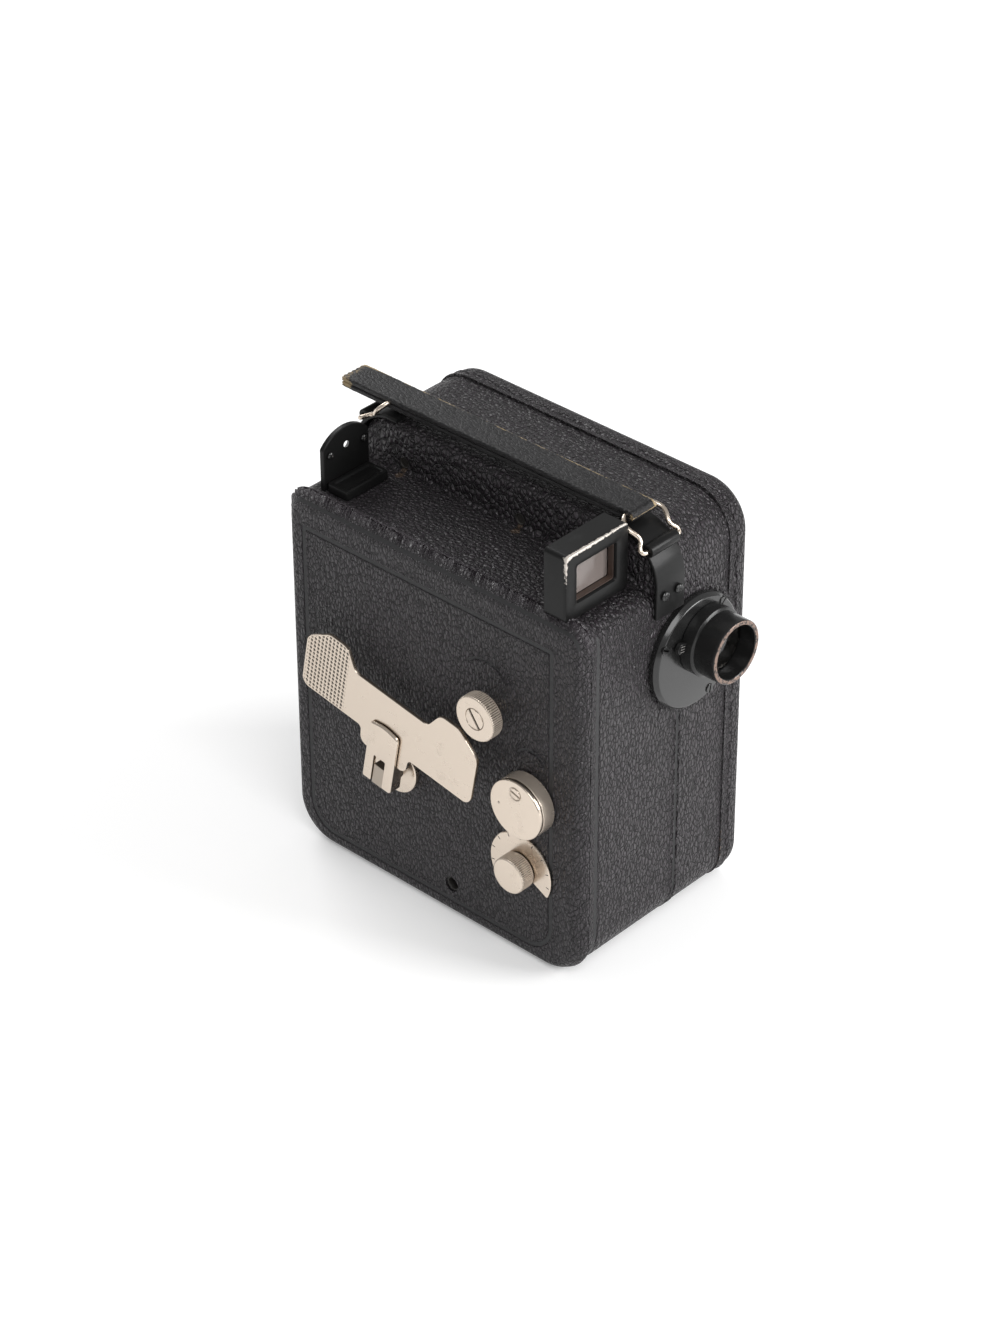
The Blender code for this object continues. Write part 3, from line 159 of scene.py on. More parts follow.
class CineFinishes(bpy.types.PropertyGroup):
    """Colours of the finishes."""

    leather: colour("Leather", "Black pebbled leather", (0.0285, 0.0225, 0.0275))
    leather_worn: colour("Worn leather", "Leather rubbed through at the edges", (0.085, 0.055, 0.036))
    hide: colour("Strap", "Smooth face of the strap", (0.014, 0.0135, 0.014))
    hide_raw: colour("Raw edge", "Cut and frayed edges of the strap", (0.33, 0.255, 0.155))
    enamel: colour("Enamel", "Black lacquer", (0.012, 0.012, 0.012))
    enamel_worn: colour("Bare metal", "Metal under the lacquer", (0.66, 0.61, 0.56))
    brassing: colour("Brassing", "Dull brass under the lens lacquer", (0.27, 0.19, 0.155))
    paint: colour("Inside paint", "Dull paint inside the casing", (0.016, 0.016, 0.017))
    nickel: colour("Nickel", "Warm nickel plating", (0.66, 0.57, 0.48))
    nickel_stain: colour("Nickel stain", "Dull spots in the plating", (0.42, 0.36, 0.29))
    steel: colour("Steel", "Bright steel", (0.56, 0.56, 0.57))
    brass: colour("Brass", "Clockwork brass", (0.62, 0.45, 0.19))
    aluminium: colour("Aluminium", "Dull plate", (0.58, 0.58, 0.59))
    glass: colour("Glass", "Old glass", (0.80, 0.77, 0.72))


# Arrays and outlines


def smooth_step(value, low, high):
    """0 below low, 1 above high, and 3t2 - 2t3 between them."""
    t = np.clip((value - low) / (high - low), 0.0, 1.0)
    return t * t * (3 - 2 * t)


def bell(value, width):
    """exp of minus the square of value over width."""
    return np.exp(-np.square(value / width))


def stations(low, high, step, marks=()):
    """Places from low to high: every step, and every fine step near each (place, reach, fine) mark."""
    places = [np.linspace(low, high, max(2, int(round((high - low) / step)) + 1))]
    for at, reach, fine in marks:
        places.append(np.arange(at - reach, at + reach + fine / 2, fine))
    found = np.unique(np.clip(np.concatenate(places), low, high))
    keep = np.concatenate(([True], np.diff(found) > 0.02 * MM))
    keep[-1] = True
    return found[keep]


def rounded(corners, steps=8, closed=True):
    """The line through (u, v, radius) corners, each corner with a radius turned into an arc."""
    corners = [np.array(c, float) for c in corners]
    line = []
    for index, corner in enumerate(corners):
        here, radius = corner[:2], corner[2]
        if radius <= 0 or (not closed and index in (0, len(corners) - 1)):
            line.append(here[None])
            continue
        before = corners[index - 1][:2] - here
        after = corners[(index + 1) % len(corners)][:2] - here
        before /= np.linalg.norm(before)
        after /= np.linalg.norm(after)
        half = math.acos(np.clip(before @ after, -1, 1)) / 2
        middle = before + after
        centre = here + middle / np.linalg.norm(middle) * radius / math.sin(half)
        first = here + before * radius / math.tan(half) - centre
        last = here + after * radius / math.tan(half) - centre
        sweep = math.atan2(first[0] * last[1] - first[1] * last[0], first @ last)
        angle = np.linspace(0, sweep, steps + 1)[:, None]
        turned_line = first * np.cos(angle) + np.array((-first[1], first[0])) * np.sin(angle)
        line.append(centre + turned_line)
    return np.concatenate(line)


def resampled(line, step, closed=True):
    """Points about a step apart along a line, by its running length."""
    if closed:
        line = np.concatenate((line, line[:1]))
    run = np.concatenate(([0], np.cumsum(np.linalg.norm(np.diff(line, axis=0), axis=1))))
    count = max(3, int(round(run[-1] / step)))
    wanted = np.linspace(0, run[-1], count + 1)
    points = np.stack([np.interp(wanted, run, line[:, k]) for k in range(line.shape[1])], -1)
    return points[:-1] if closed else points


def rectangle(u_low, u_high, v_low, v_high, radius, steps=8):
    """A rectangle's outline with round corners."""
    corners = [(u_low, v_low), (u_high, v_low), (u_high, v_high), (u_low, v_high)]
    return rounded([(u, v, radius) for u, v in corners], steps)


def outline_normals(outline):
    """Unit normals of a closed outline that runs anticlockwise, pointing out: its tangent turned by a quarter."""
    tangent = np.roll(outline, -1, axis=0) - np.roll(outline, 1, axis=0)
    normal = np.stack((tangent[:, 1], -tangent[:, 0]), -1)
    return normal / np.maximum(np.linalg.norm(normal, axis=1, keepdims=True), 1e-12)


# Grids of points


def placed(points, axes, origin):
    """Local points turned by the axes and moved to the origin."""
    return points @ axes.T + np.asarray(origin)


def seated(grids, axes, origin):
    """Local grids, each (points, close rows, close columns), with their points placed."""
    return [(placed(points, axes, origin), *closing) for points, *closing in grids]


def turn_z(angle):
    """Axes turned about z."""
    c, s = math.cos(angle), math.sin(angle)
    return np.array(((c, -s, 0), (s, c, 0), (0, 0, 1)))


def turned(profile, sides, wobble=None):
    """A profile of (radius, height) pairs turned about z: (r cos a, r sin a, h), with r less wobble(a, r)."""
    profile = np.asarray(profile, float)
    angle = np.linspace(0, TAU, sides, endpoint=False)[None]
    radius = profile[:, :1] + np.zeros_like(angle)
    if wobble is not None:
        radius = radius - wobble(angle, radius)
    height = np.broadcast_to(profile[:, 1:2], radius.shape)
    return np.stack((radius * np.cos(angle), radius * np.sin(angle), height), -1)


def at_level(outline, level):
    """A flat outline's points at one height, or at a height each."""
    return np.column_stack((outline, np.broadcast_to(level, len(outline))))


def plate_rings(outline, low, high, bevel):
    """Rings of a flat plate: its outline drawn in by the bevel at both faces, and full between them."""
    inner = outline - outline_normals(outline) * bevel
    levels = ((inner, low), (outline, low + bevel), (outline, high - bevel), (inner, high))
    return np.stack([at_level(ring, level) for ring, level in levels])


def round_plate(outline, low, high, radius, foot):
    """A plate with its upper edge rounded: the outline drawn in by r (1 - cos a) at height high - r (1 - sin a).

    The radius may differ along the outline. The plate's two faces close it."""
    normal = outline_normals(outline)
    radius = np.broadcast_to(np.asarray(radius, float), len(outline))
    rings = [at_level(outline - normal * foot, low), at_level(outline, low + foot)]
    for a in np.linspace(0, math.pi / 2, 8):
        drawn_in = outline - normal * radius[:, None] * (1 - math.cos(a))
        rings.append(at_level(drawn_in, high - radius * (1 - math.sin(a))))
    rings = np.stack(rings)
    return [(rings, False, True), (rings[:1], False, True), (rings[-1:], False, True)]


def swept(path, section, up):
    """A section of (across, along up) pairs carried along a path: path + side * s0 + lift * s1, per path point."""
    tangent = np.gradient(path, axis=0)
    tangent /= np.linalg.norm(tangent, axis=1, keepdims=True)
    side = np.cross(tangent, np.asarray(up, float))
    side /= np.linalg.norm(side, axis=1, keepdims=True)
    lift = np.cross(side, tangent)
    return path[:, None] + side[:, None] * section[None, :, :1] + lift[:, None] * section[None, :, 1:2]


def circle(radius, sides):
    """A round section."""
    angle = np.linspace(0, TAU, sides, endpoint=False)
    return radius * np.stack((np.cos(angle), np.sin(angle)), -1)


def smooth_path(points, count):
    """A cubic through the points: each span blends the two parabolas through its neighbours (Catmull-Rom)."""
    points = np.asarray(points, float)
    ends = np.concatenate((2 * points[:1] - points[1:2], points, 2 * points[-1:] - points[-2:-1]))
    t = np.linspace(0, len(points) - 1, count)
    span = np.minimum(t.astype(int), len(points) - 2)
    f = (t - span)[:, None]
    a, b, c, d = (ends[span + k] for k in range(4))
    return 0.5 * (2 * b + (c - a) * f + (2 * a - 5 * b + 4 * c - d) * f**2 + (3 * b - a - 3 * c + d) * f**3)


def slotted_head(radius, height, slot, depth, edge):
    """A screw head as a stack of chords: (u, v sqrt(r2 - u2)), sunk by the depth where |u| is inside the slot."""
    half = slot / 2
    fine = 0.04 * MM
    u = np.concatenate((np.linspace(-1, -half / radius - fine / radius, 9) * radius, (-half, half)))
    u = np.concatenate((u, -u[8::-1]))
    v = np.linspace(-1, 1, 17)[None]
    chord = np.sqrt(np.maximum(radius**2 - u**2, 0))[:, None]
    across = np.broadcast_to(u[:, None], (len(u), v.shape[1]))
    along = chord * v
    away = radius - np.hypot(across, along)
    level = height - edge * np.square(1 - np.clip(away / edge, 0, 1))
    level = np.where(np.abs(across) <= half + fine / 4, height - depth, level)
    return np.stack((across, along, level), -1)


def head_with_wall(radius, height, slot, depth, edge, turn):
    """A slotted head and the wall round it, as two grids, turned by an angle."""
    top = slotted_head(radius, height, slot, depth, edge)
    wall = turned([(radius, height - edge), (radius, 0), (0, 0)], 40)
    return [(top @ turn_z(turn).T, False, False), (wall, False, True)]


def grid_faces(rows, cols, close_rows, close_cols):
    """Corner indices of a grid's faces; closing joins the last row or column to the first."""
    r, c = np.meshgrid(
        np.arange(rows if close_rows else rows - 1), np.arange(cols if close_cols else cols - 1), indexing="ij"
    )
    r_next, c_next = (r + 1) % rows, (c + 1) % cols
    corners = (r * cols + c, r_next * cols + c, r_next * cols + c_next, r * cols + c_next)
    return np.stack(corners, -1).reshape(-1, 4)


def capped(rings):
    """Rings with both ends drawn to their middle, so that the surface is closed."""
    first = np.broadcast_to(rings[:1].mean(1, keepdims=True), rings[:1].shape)
    last = np.broadcast_to(rings[-1:].mean(1, keepdims=True), rings[-1:].shape)
    return np.concatenate((first, rings, last))


def piece(name, grids, finish, body, replaces=(), wear=None, angle=35.0, flip=None):
    """One object from grids of points, each (points, close rows, close columns), welded, smooth and riding on a body.

    A grid of one row is the rim of a flat face. Wear is a level or an array for each grid, and on metal a high level
    paints shade. Faces are turned out, or turned round where flip is given and true."""
    points, corners, sides, worn, start = [], [], [], [], 0
    for index, (grid, close_rows, close_cols) in enumerate(grids):
        rows, cols = grid.shape[:2]
        points.append(grid.reshape(-1, 3))
        faces = np.arange(cols)[None] if rows == 1 else grid_faces(rows, cols, close_rows, close_cols)
        corners.append(faces.ravel() + start)
        sides.append(np.full(len(faces), faces.shape[1]))
        level = 0.0 if wear is None else wear[index]
        worn.append(np.broadcast_to(np.asarray(level, float), (rows, cols)).reshape(-1))
        start += rows * cols
    points, corners, sides, worn = (np.concatenate(v) for v in (points, corners, sides, worn))
    mesh = bpy.data.meshes.new(name)
    mesh.vertices.add(len(points))
    mesh.vertices.foreach_set("co", points.astype(np.float32).ravel())
    mesh.loops.add(len(corners))
    mesh.loops.foreach_set("vertex_index", corners.astype(np.int32))
    mesh.polygons.add(len(sides))
    mesh.polygons.foreach_set("loop_start", (np.cumsum(sides) - sides).astype(np.int32))
    mesh.polygons.foreach_set("loop_total", sides.astype(np.int32))
    mesh.update(calc_edges=True)
    attribute = mesh.attributes.new("wear", "FLOAT", "POINT")
    attribute.data.foreach_set("value", worn.astype(np.float32))
    solid = bmesh.new()
    solid.from_mesh(mesh)
    bmesh.ops.remove_doubles(solid, verts=solid.verts, dist=WELD_DISTANCE)
    if flip is None:
        bmesh.ops.recalc_face_normals(solid, faces=solid.faces)
    elif flip:
        bmesh.ops.reverse_faces(solid, faces=solid.faces)
    solid.to_mesh(mesh)
    solid.free()
    mesh.polygons.foreach_set("use_smooth", np.ones(len(mesh.polygons), bool))
    mesh.set_sharp_from_angle(angle=math.radians(angle))
    mesh.materials.append(finish_of(finish))
    item = bpy.data.objects.new(name, mesh)
    bpy.context.scene.collection.objects.link(item)
    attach(item, body)
    if replaces:
        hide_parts(*replaces)


def facing(points, close_rows, close_cols, centre):
    """Whether a grid's faces point towards a centre, by the sign of the volume between them."""
    quad = points.reshape(-1, 3)[grid_faces(*points.shape[:2], close_rows, close_cols)] - centre
    volume = np.einsum("ij,ij->i", quad[:, 0], np.cross(quad[:, 1] - quad[:, 0], quad[:, 3] - quad[:, 0]))
    return volume.sum() < 0


# Shader nodes


def times(factor, base):
    """A colour made lighter or darker."""
    return tuple(factor * value for value in base)


def plug(tree, socket, value):
    """A socket linked to another node's socket, or set to a plain value."""
    if isinstance(value, bpy.types.NodeSocket):
        tree.links.new(value, socket)
    else:
        socket.default_value = value


def add_node(tree, kind, values=(), **settings):
    """A node with its settings, and its inputs plugged."""
    made = tree.nodes.new(kind)
    for key, value in settings.items():
        setattr(made, key, value)
    for key, value in dict(values).items():
        plug(tree, made.inputs[key], value)
    return made


def maths(tree, operation, *values):
    """A maths node of sockets or numbers; it gives back its output."""
    return add_node(tree, "ShaderNodeMath", enumerate(values), operation=operation).outputs[0]


def scaled(tree, value, factor, start):
    """start + factor * value."""
    return maths(tree, "MULTIPLY_ADD", value, factor, start)


def ramp(tree, value, low, high):
    """A value stretched so that low gives 0 and high gives 1."""
    values = {"Value": value, "From Min": low, "From Max": high}
    return add_node(tree, "ShaderNodeMapRange", values, interpolation_type="SMOOTHSTEP").outputs["Result"]


def noise(tree, vector, scale, detail, roughness=0.5):
    """A noise texture's node."""
    values = {"Vector": vector, "Scale": scale, "Detail": detail, "Roughness": roughness}
    return add_node(tree, "ShaderNodeTexNoise", values)


def mixed(tree, factor, first, second):
    """Two colours or sockets mixed by a factor."""
    made = add_node(tree, "ShaderNodeMix", {"Factor": factor}, data_type="RGBA")
    for key, value in (("A", first), ("B", second)):
        socket = next(s for s in made.inputs if s.name == key and s.type == "RGBA")
        plug(tree, socket, value if isinstance(value, bpy.types.NodeSocket) else (*value, 1.0))
    return next(s for s in made.outputs if s.type == "RGBA")


def new_group(name, numbers, outputs):
    """An empty shader group with a vector and named numbers going in, and named values coming out."""
    tree = bpy.data.node_groups.new(name, "ShaderNodeTree")
    tree.interface.new_socket("Vector", in_out="INPUT", socket_type="NodeSocketVector")
    for key, default in numbers.items():
        socket = tree.interface.new_socket(key, in_out="INPUT", socket_type="NodeSocketFloat")
        socket.default_value = default
    for key in outputs:
        tree.interface.new_socket(key, in_out="OUTPUT", socket_type="NodeSocketFloat")
    return tree, tree.nodes.new("NodeGroupInput").outputs, tree.nodes.new("NodeGroupOutput").inputs


def grain_group():
    """Pebbled leather: cells parted by soft creases, each a low dome, as a height, a mask of their tops and a tone."""
    numbers = {"Scale": 900.0, "Crease": 0.5}
    tree, source, result = new_group("Leather grain", numbers, ("Height", "Raised", "Tone"))
    bend = noise(tree, source["Vector"], 420.0, 2.0).outputs["Color"]
    bent = {0: bend, 1: (0.0011, 0.0011, 0.0011), 2: source["Vector"]}
    offset = add_node(tree, "ShaderNodeVectorMath", bent, operation="MULTIPLY_ADD").outputs[0]
    cell = {"Vector": offset, "Scale": source["Scale"]}
    near = add_node(tree, "ShaderNodeTexVoronoi", cell, feature="SMOOTH_F1").outputs["Distance"]
    border = add_node(tree, "ShaderNodeTexVoronoi", cell, feature="DISTANCE_TO_EDGE").outputs["Distance"]
    crease = noise(tree, offset, maths(tree, "MULTIPLY", source["Scale"], 1.3), 2.0).outputs[0]
    raised = ramp(tree, border, 0.0, 0.15)
    dome = maths(tree, "SUBTRACT", 0.6, near)
    fine = maths(tree, "MULTIPLY", crease, source["Crease"])
    height = maths(tree, "ADD", maths(tree, "MULTIPLY", raised, 0.55), maths(tree, "ADD", dome, fine))
    plug(tree, result["Height"], height)
    # The cells' tops as a mask; the leather paints shade into the creases outside it
    uneven = scaled(tree, ramp(tree, crease, 0.3, 0.6), 0.45, 0.55)
    plug(tree, result["Raised"], maths(tree, "MULTIPLY", raised, uneven))
    plug(tree, result["Tone"], noise(tree, source["Vector"], 55.0, 3.0).outputs[0])
    return tree


def wear_and_shade_group():
    """Rubbed places, and on metal painted shade: the piece's own wear attribute broken up by noise, as a mask."""
    tree, source, result = new_group("Edge wear and painted shade", {"Scale": 500.0, "Wear": 0.0}, ("Mask",))
    broken = noise(tree, source["Vector"], source["Scale"], 5.0, 0.65).outputs[0]
    level = maths(tree, "ADD", broken, source["Wear"])
    plug(tree, result["Mask"], ramp(tree, level, 0.98, 1.16))
    return tree


def stain_group():
    """Dull spots: the peaks of a coarse noise, as a mask, with a noise nine times finer as a tone."""
    tree, source, result = new_group("Stains", {"Scale": 120.0}, ("Mask", "Tone"))
    coarse = noise(tree, source["Vector"], source["Scale"], 6.0, 0.7).outputs[0]
    fine = noise(tree, source["Vector"], maths(tree, "MULTIPLY", source["Scale"], 9.0), 3.0).outputs[0]
    plug(tree, result["Mask"], ramp(tree, coarse, 0.56, 0.78))
    plug(tree, result["Tone"], fine)
    return tree


GROUP_MAKERS = {"grain": grain_group, "wear": wear_and_shade_group, "stain": stain_group}
GROUPS = {}


def group_node(tree, key, **values):
    """A shared effect placed in a material, made once."""
    if key not in GROUPS:
        GROUPS[key] = GROUP_MAKERS[key]()
    made = tree.nodes.new("ShaderNodeGroup")
    made.node_tree = GROUPS[key]
    for name, value in values.items():
        plug(tree, made.inputs[name.capitalize()], value)
    return made.outputs


def new_material(name, roughness, metallic=0.0, **sockets):
    """A material with its Principled shader, its plain socket values and a node of Object coordinates."""
    made = bpy.data.materials.new(name)
    made.use_nodes = True
    tree = made.node_tree
    inputs = tree.nodes["Principled BSDF"].inputs
    inputs["Roughness"].default_value = roughness
    inputs["Metallic"].default_value = metallic
    for key, value in sockets.items():
        inputs[key.replace("_", " ")].default_value = value
    where = tree.nodes.new("ShaderNodeTexCoord").outputs["Object"]
    return made, tree, inputs, where


def stretched(tree, where, scale, turn=(0.0, 0.0, 0.0)):
    """Object coordinates turned and stretched."""
    values = {"Vector": where, "Scale": scale, "Rotation": turn}
    return add_node(tree, "ShaderNodeMapping", values).outputs[0]


def bumped(tree, inputs, height, strength, distance):
    """A bump from a height into the shader's normal."""
    values = {"Height": height, "Strength": strength, "Distance": distance}
    plug(tree, inputs["Normal"], add_node(tree, "ShaderNodeBump", values).outputs[0])


def wear_and_shade_attribute(tree):
    """The piece's wear attribute, which on metal also paints shade."""
    return add_node(tree, "ShaderNodeAttribute", attribute_name="wear").outputs["Fac"]


def leather_material(name, base, worn, stretch, turn, scale):
    """Pebbled leather with painted shade in its creases, smooth where it is pressed and browner where it is rubbed."""
    made, tree, inputs, where = new_material(name, 0.5, Specular_IOR_Level=0.55)
    grain = group_node(tree, "grain", vector=stretched(tree, where, stretch, turn), scale=scale, crease=0.5)
    wear_and_shade_level = wear_and_shade_attribute(tree)
    mask = group_node(tree, "wear", vector=where, scale=420.0, wear=wear_and_shade_level)["Mask"]
    pressed = ramp(tree, maths(tree, "MULTIPLY", wear_and_shade_level, -1.0), 0.05, 0.9)
    raised = maths(tree, "MAXIMUM", grain["Raised"], maths(tree, "MULTIPLY", pressed, 0.8))
    height = maths(tree, "MULTIPLY", grain["Height"], scaled(tree, pressed, -0.85, 1.0))
    tone = ramp(tree, grain["Tone"], 0.3, 0.75)
    shade = mixed(tree, tone, times(0.85, base), times(1.25, base))
    # Painted shade: outside the cells' tops, the creases are darkened to a fifth of the base colour
    shade = mixed(tree, raised, times(0.2, base), shade)
    plug(tree, inputs["Base Color"], mixed(tree, mask, shade, worn))
    rough = maths(tree, "ADD", scaled(tree, raised, -0.36, 0.62), scaled(tree, grain["Tone"], 0.2, 0.0))
    plug(tree, inputs["Roughness"], rough)
    bumped(tree, inputs, height, 1.0, 0.0013)
    return made


def hide_material(name, base, raw):
    """The strap's smooth hide with scratches along it and raw tan edges."""
    made, tree, inputs, where = new_material(name, 0.5, Specular_IOR_Level=0.22)
    streak = group_node(tree, "stain", vector=stretched(tree, where, (1.0, 0.05, 1.0)), scale=420.0)
    mask = group_node(tree, "wear", vector=where, scale=900.0, wear=wear_and_shade_attribute(tree))["Mask"]
    tone = ramp(tree, streak["Tone"], 0.35, 0.7)
    shade = mixed(tree, tone, times(0.6, base), times(1.7, base))
    shade = mixed(tree, maths(tree, "MULTIPLY", streak["Mask"], 0.5), shade, times(4.5, base))
    plug(tree, inputs["Base Color"], mixed(tree, mask, shade, raw))
    rough = maths(tree, "ADD", scaled(tree, streak["Mask"], 0.2, 0.36), maths(tree, "MULTIPLY", mask, 0.4))
    plug(tree, inputs["Roughness"], rough)
    grain = group_node(tree, "grain", vector=stretched(tree, where, (1.0, 0.4, 1.0)), scale=1500.0, crease=0.9)
    height = maths(tree, "ADD", grain["Height"], maths(tree, "MULTIPLY", streak["Tone"], 1.5))
    bumped(tree, inputs, height, 0.5, 0.0002)
    return made


def enamel_material(name, base, worn, roughness, gloss, coat):
    """Black lacquer, rubbed to the metal at its edges."""
    made, tree, inputs, where = new_material(
        name, roughness, Coat_Weight=coat, Coat_Roughness=0.12, Specular_IOR_Level=gloss
    )
    mask = group_node(tree, "wear", vector=where, scale=1100.0, wear=wear_and_shade_attribute(tree))["Mask"]
    stain = group_node(tree, "stain", vector=where, scale=170.0)
    shade = mixed(tree, stain["Mask"], base, times(1.8, base))
    plug(tree, inputs["Base Color"], mixed(tree, mask, shade, worn))
    plug(tree, inputs["Metallic"], maths(tree, "MULTIPLY", mask, 0.85))
    rough = scaled(tree, stain["Tone"], 0.1, roughness - 0.05)
    plug(tree, inputs["Roughness"], maths(tree, "ADD", rough, maths(tree, "MULTIPLY", mask, 0.2)))
    return made


def metal_material(name, base, stain_colour, roughness, brush, scale=120.0):
    """Plated or plain metal with brush marks along one axis, dull clouds and dark pits.

    A little wear makes it dull, and more makes it dark, which paints shade into slots, pits, dimples and knurls."""
    made, tree, inputs, where = new_material(name, roughness, 1.0)
    stain = group_node(tree, "stain", vector=where, scale=scale)
    pits = group_node(tree, "stain", vector=where, scale=scale * 4.0)
    wear_and_shade_level = wear_and_shade_attribute(tree)
    mask = group_node(tree, "wear", vector=where, scale=900.0, wear=wear_and_shade_level)["Mask"]
    dull = ramp(tree, wear_and_shade_level, 0.02, 0.2)
    plug(tree, inputs["Metallic"], scaled(tree, dull, -0.6, 1.0))
    shade = mixed(tree, maths(tree, "MULTIPLY", stain["Mask"], 0.3), base, stain_colour)
    spots = ramp(tree, maths(tree, "MULTIPLY", stain["Mask"], pits["Mask"]), 0.35, 0.6)
    shade = mixed(tree, maths(tree, "MULTIPLY", spots, 0.6), shade, times(0.5, stain_colour))
    # Painted shade: where the wear level is high, the metal turns dark and dull
    plug(tree, inputs["Base Color"], mixed(tree, mask, shade, times(0.22, stain_colour)))
    lines = noise(tree, stretched(tree, where, brush), 900.0, 2.0).outputs[0]
    rough = scaled(tree, lines, 0.07, roughness - 0.035)
    plug(tree, inputs["Roughness"], maths(tree, "ADD", rough, maths(tree, "MULTIPLY", stain["Mask"], 0.1)))
    return made


def paint_material(name, base, roughness):
    """Dull paint with dust in its texture."""
    made, tree, inputs, where = new_material(name, roughness)
    stain = group_node(tree, "stain", vector=where, scale=140.0)
    plug(tree, inputs["Base Color"], mixed(tree, stain["Mask"], base, times(2.6, base)))
    plug(tree, inputs["Roughness"], scaled(tree, stain["Tone"], 0.25, roughness - 0.12))
    bumped(tree, inputs, stain["Tone"], 0.12, 0.0002)
    return made


def glass_material(name, base, roughness, transmission):
    """Old glass with faint haze."""
    made, tree, inputs, where = new_material(name, roughness, IOR=1.5, Transmission_Weight=transmission)
    stain = group_node(tree, "stain", vector=where, scale=160.0)
    plug(tree, inputs["Base Color"], mixed(tree, stain["Mask"], base, times(0.8, base)))
    plug(tree, inputs["Roughness"], scaled(tree, stain["Mask"], 0.12, roughness))
    return made


def leathers(c):
    """The leather, hide and paint finishes: each one's maker, its material's name and its values."""
    return {
        "leather_side": (
            leather_material, "leather_side", c.leather, c.leather_worn, (1.0, 1.0, 0.5), (0.7, 0.0, 0.0), 1080.0
        ),
        "leather": (
            leather_material, "leather", c.leather, c.leather_worn, (0.95, 0.66, 0.48), (0.0, 0.22, 0.3), 990.0
        ),
        "hide": (hide_material, "strap_hide", c.hide, c.hide_raw),
        "paint": (paint_material, "inside_paint", c.paint, 0.6),
        "pale_fill": (paint_material, "pale_fill", (0.22, 0.21, 0.20), 0.5),
        "liner": (paint_material, "finder_liner", (0.045, 0.028, 0.021), 0.45),
        # Dark fill: the print of the dial ticks, and painted shade in the screw holes and the release socket
        "mark": (paint_material, "mark_fill", (0.02, 0.018, 0.016), 0.5),
    }


def metals(c):
    """The lacquer, metal and glass finishes: each one's maker, its material's name and its values."""
    along_y, along_z, along_yz = (1.0, 0.1, 1.0), (1.0, 1.0, 0.08), (1.0, 0.2, 0.2)
    return {
        "enamel": (enamel_material, "black_enamel", c.enamel, c.enamel_worn, 0.22, 0.5, 0.25),
        "enamel_dull": (enamel_material, "dull_enamel", times(0.7, c.enamel), c.enamel_worn, 0.36, 0.16, 0.03),
        "lens_enamel": (enamel_material, "lens_enamel", c.enamel, c.brassing, 0.24, 0.28, 0.1),
        "nickel": (metal_material, "warm_nickel", c.nickel, c.nickel_stain, 0.26, (1.0, 0.06, 1.0)),
        "steel": (metal_material, "bright_steel", c.steel, times(0.5, c.steel), 0.3, along_y),
        "lug_steel": (metal_material, "lug_steel", times(0.6, c.nickel), times(0.4, c.nickel), 0.4, along_y),
        "brass": (metal_material, "clock_brass", c.brass, times(0.55, c.brass), 0.3, along_yz),
        "aluminium": (metal_material, "dull_plate", c.aluminium, times(0.6, c.aluminium), 0.42, along_z),
        "lens_glass": (glass_material, "lens_glass", times(0.12, c.glass), 0.05, 1.0),
        "finder_glass": (glass_material, "finder_glass", (0.34, 0.29, 0.27), 0.1, 0.55),
    }


MATERIALS = {}


def finish_of(key):
    """A material of the camera, made once from the user's colours."""
    if key not in MATERIALS:
        colours = bpy.context.scene.cine_finishes
        maker, *values = (leathers(colours) | metals(colours))[key]
        MATERIALS[key] = maker(*values)
    return MATERIALS[key]


def paint_nodes(key, *names):
    """CAD nodes whose shape is right, given a procedural finish."""
    for name in names:
        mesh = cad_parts[name].data
        mesh.materials.clear()
        mesh.materials.append(finish_of(key))


def soften_nodes(width, *names):
    """CAD nodes with a fine bevel on their sharp edges."""
    for name in names:
        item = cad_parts[name]
        weld = item.modifiers.new("Weld", "WELD")
        weld.merge_threshold = 1e-6
        bevel = item.modifiers.new("Soft edge", "BEVEL")
        bevel.width = width
        bevel.segments = 2
        bevel.limit_method = "ANGLE"
        bevel.angle_limit = math.radians(40)
        bevel.use_clamp_overlap = True


# Leather skins


def arched(y, half, radius, level, sign):
    """The height of a rounded rectangle's lower or upper edge over y: level less its corner arcs."""
    over = np.maximum(np.abs(y) - (half - radius), 0)
    drop = radius - np.sqrt(np.maximum(radius**2 - over**2, 0))
    return level - sign * drop


def crumple(run):
    """Small irregular wrinkles along a run: 2 |sin| - 1 of an uneven phase, sharp in its valleys, and a slow swell."""
    phase = run / (1.15 * MM) + 0.5 * np.sin(TAU * run / (5.3 * MM)) + 0.35 * np.sin(TAU * run / (3.1 * MM) + 1.0)
    swell = 0.65 + 0.35 * np.sin(TAU * run / (9.7 * MM) + 0.8 * np.sin(TAU * run / (23 * MM)))
    return swell * (2 * np.abs(np.sin(math.pi * phase)) - 1)


def arc_line(y, z, centre, radius, start, end, width):
    """A pressed arc: a bell of the distance to a circle with a low lip on both sides, faded outside its angles."""
    fade = 12
    away = np.hypot(y - centre[0], z - centre[1]) - radius
    angle = np.degrees(np.arctan2(z - centre[1], y - centre[0]))
    inside = smooth_step(angle, start, start + fade) * (1 - smooth_step(angle, end - fade, end))
    return (bell(away, width) - 0.5 * bell(np.abs(away) - 1.7 * width, 0.7 * width)) * inside


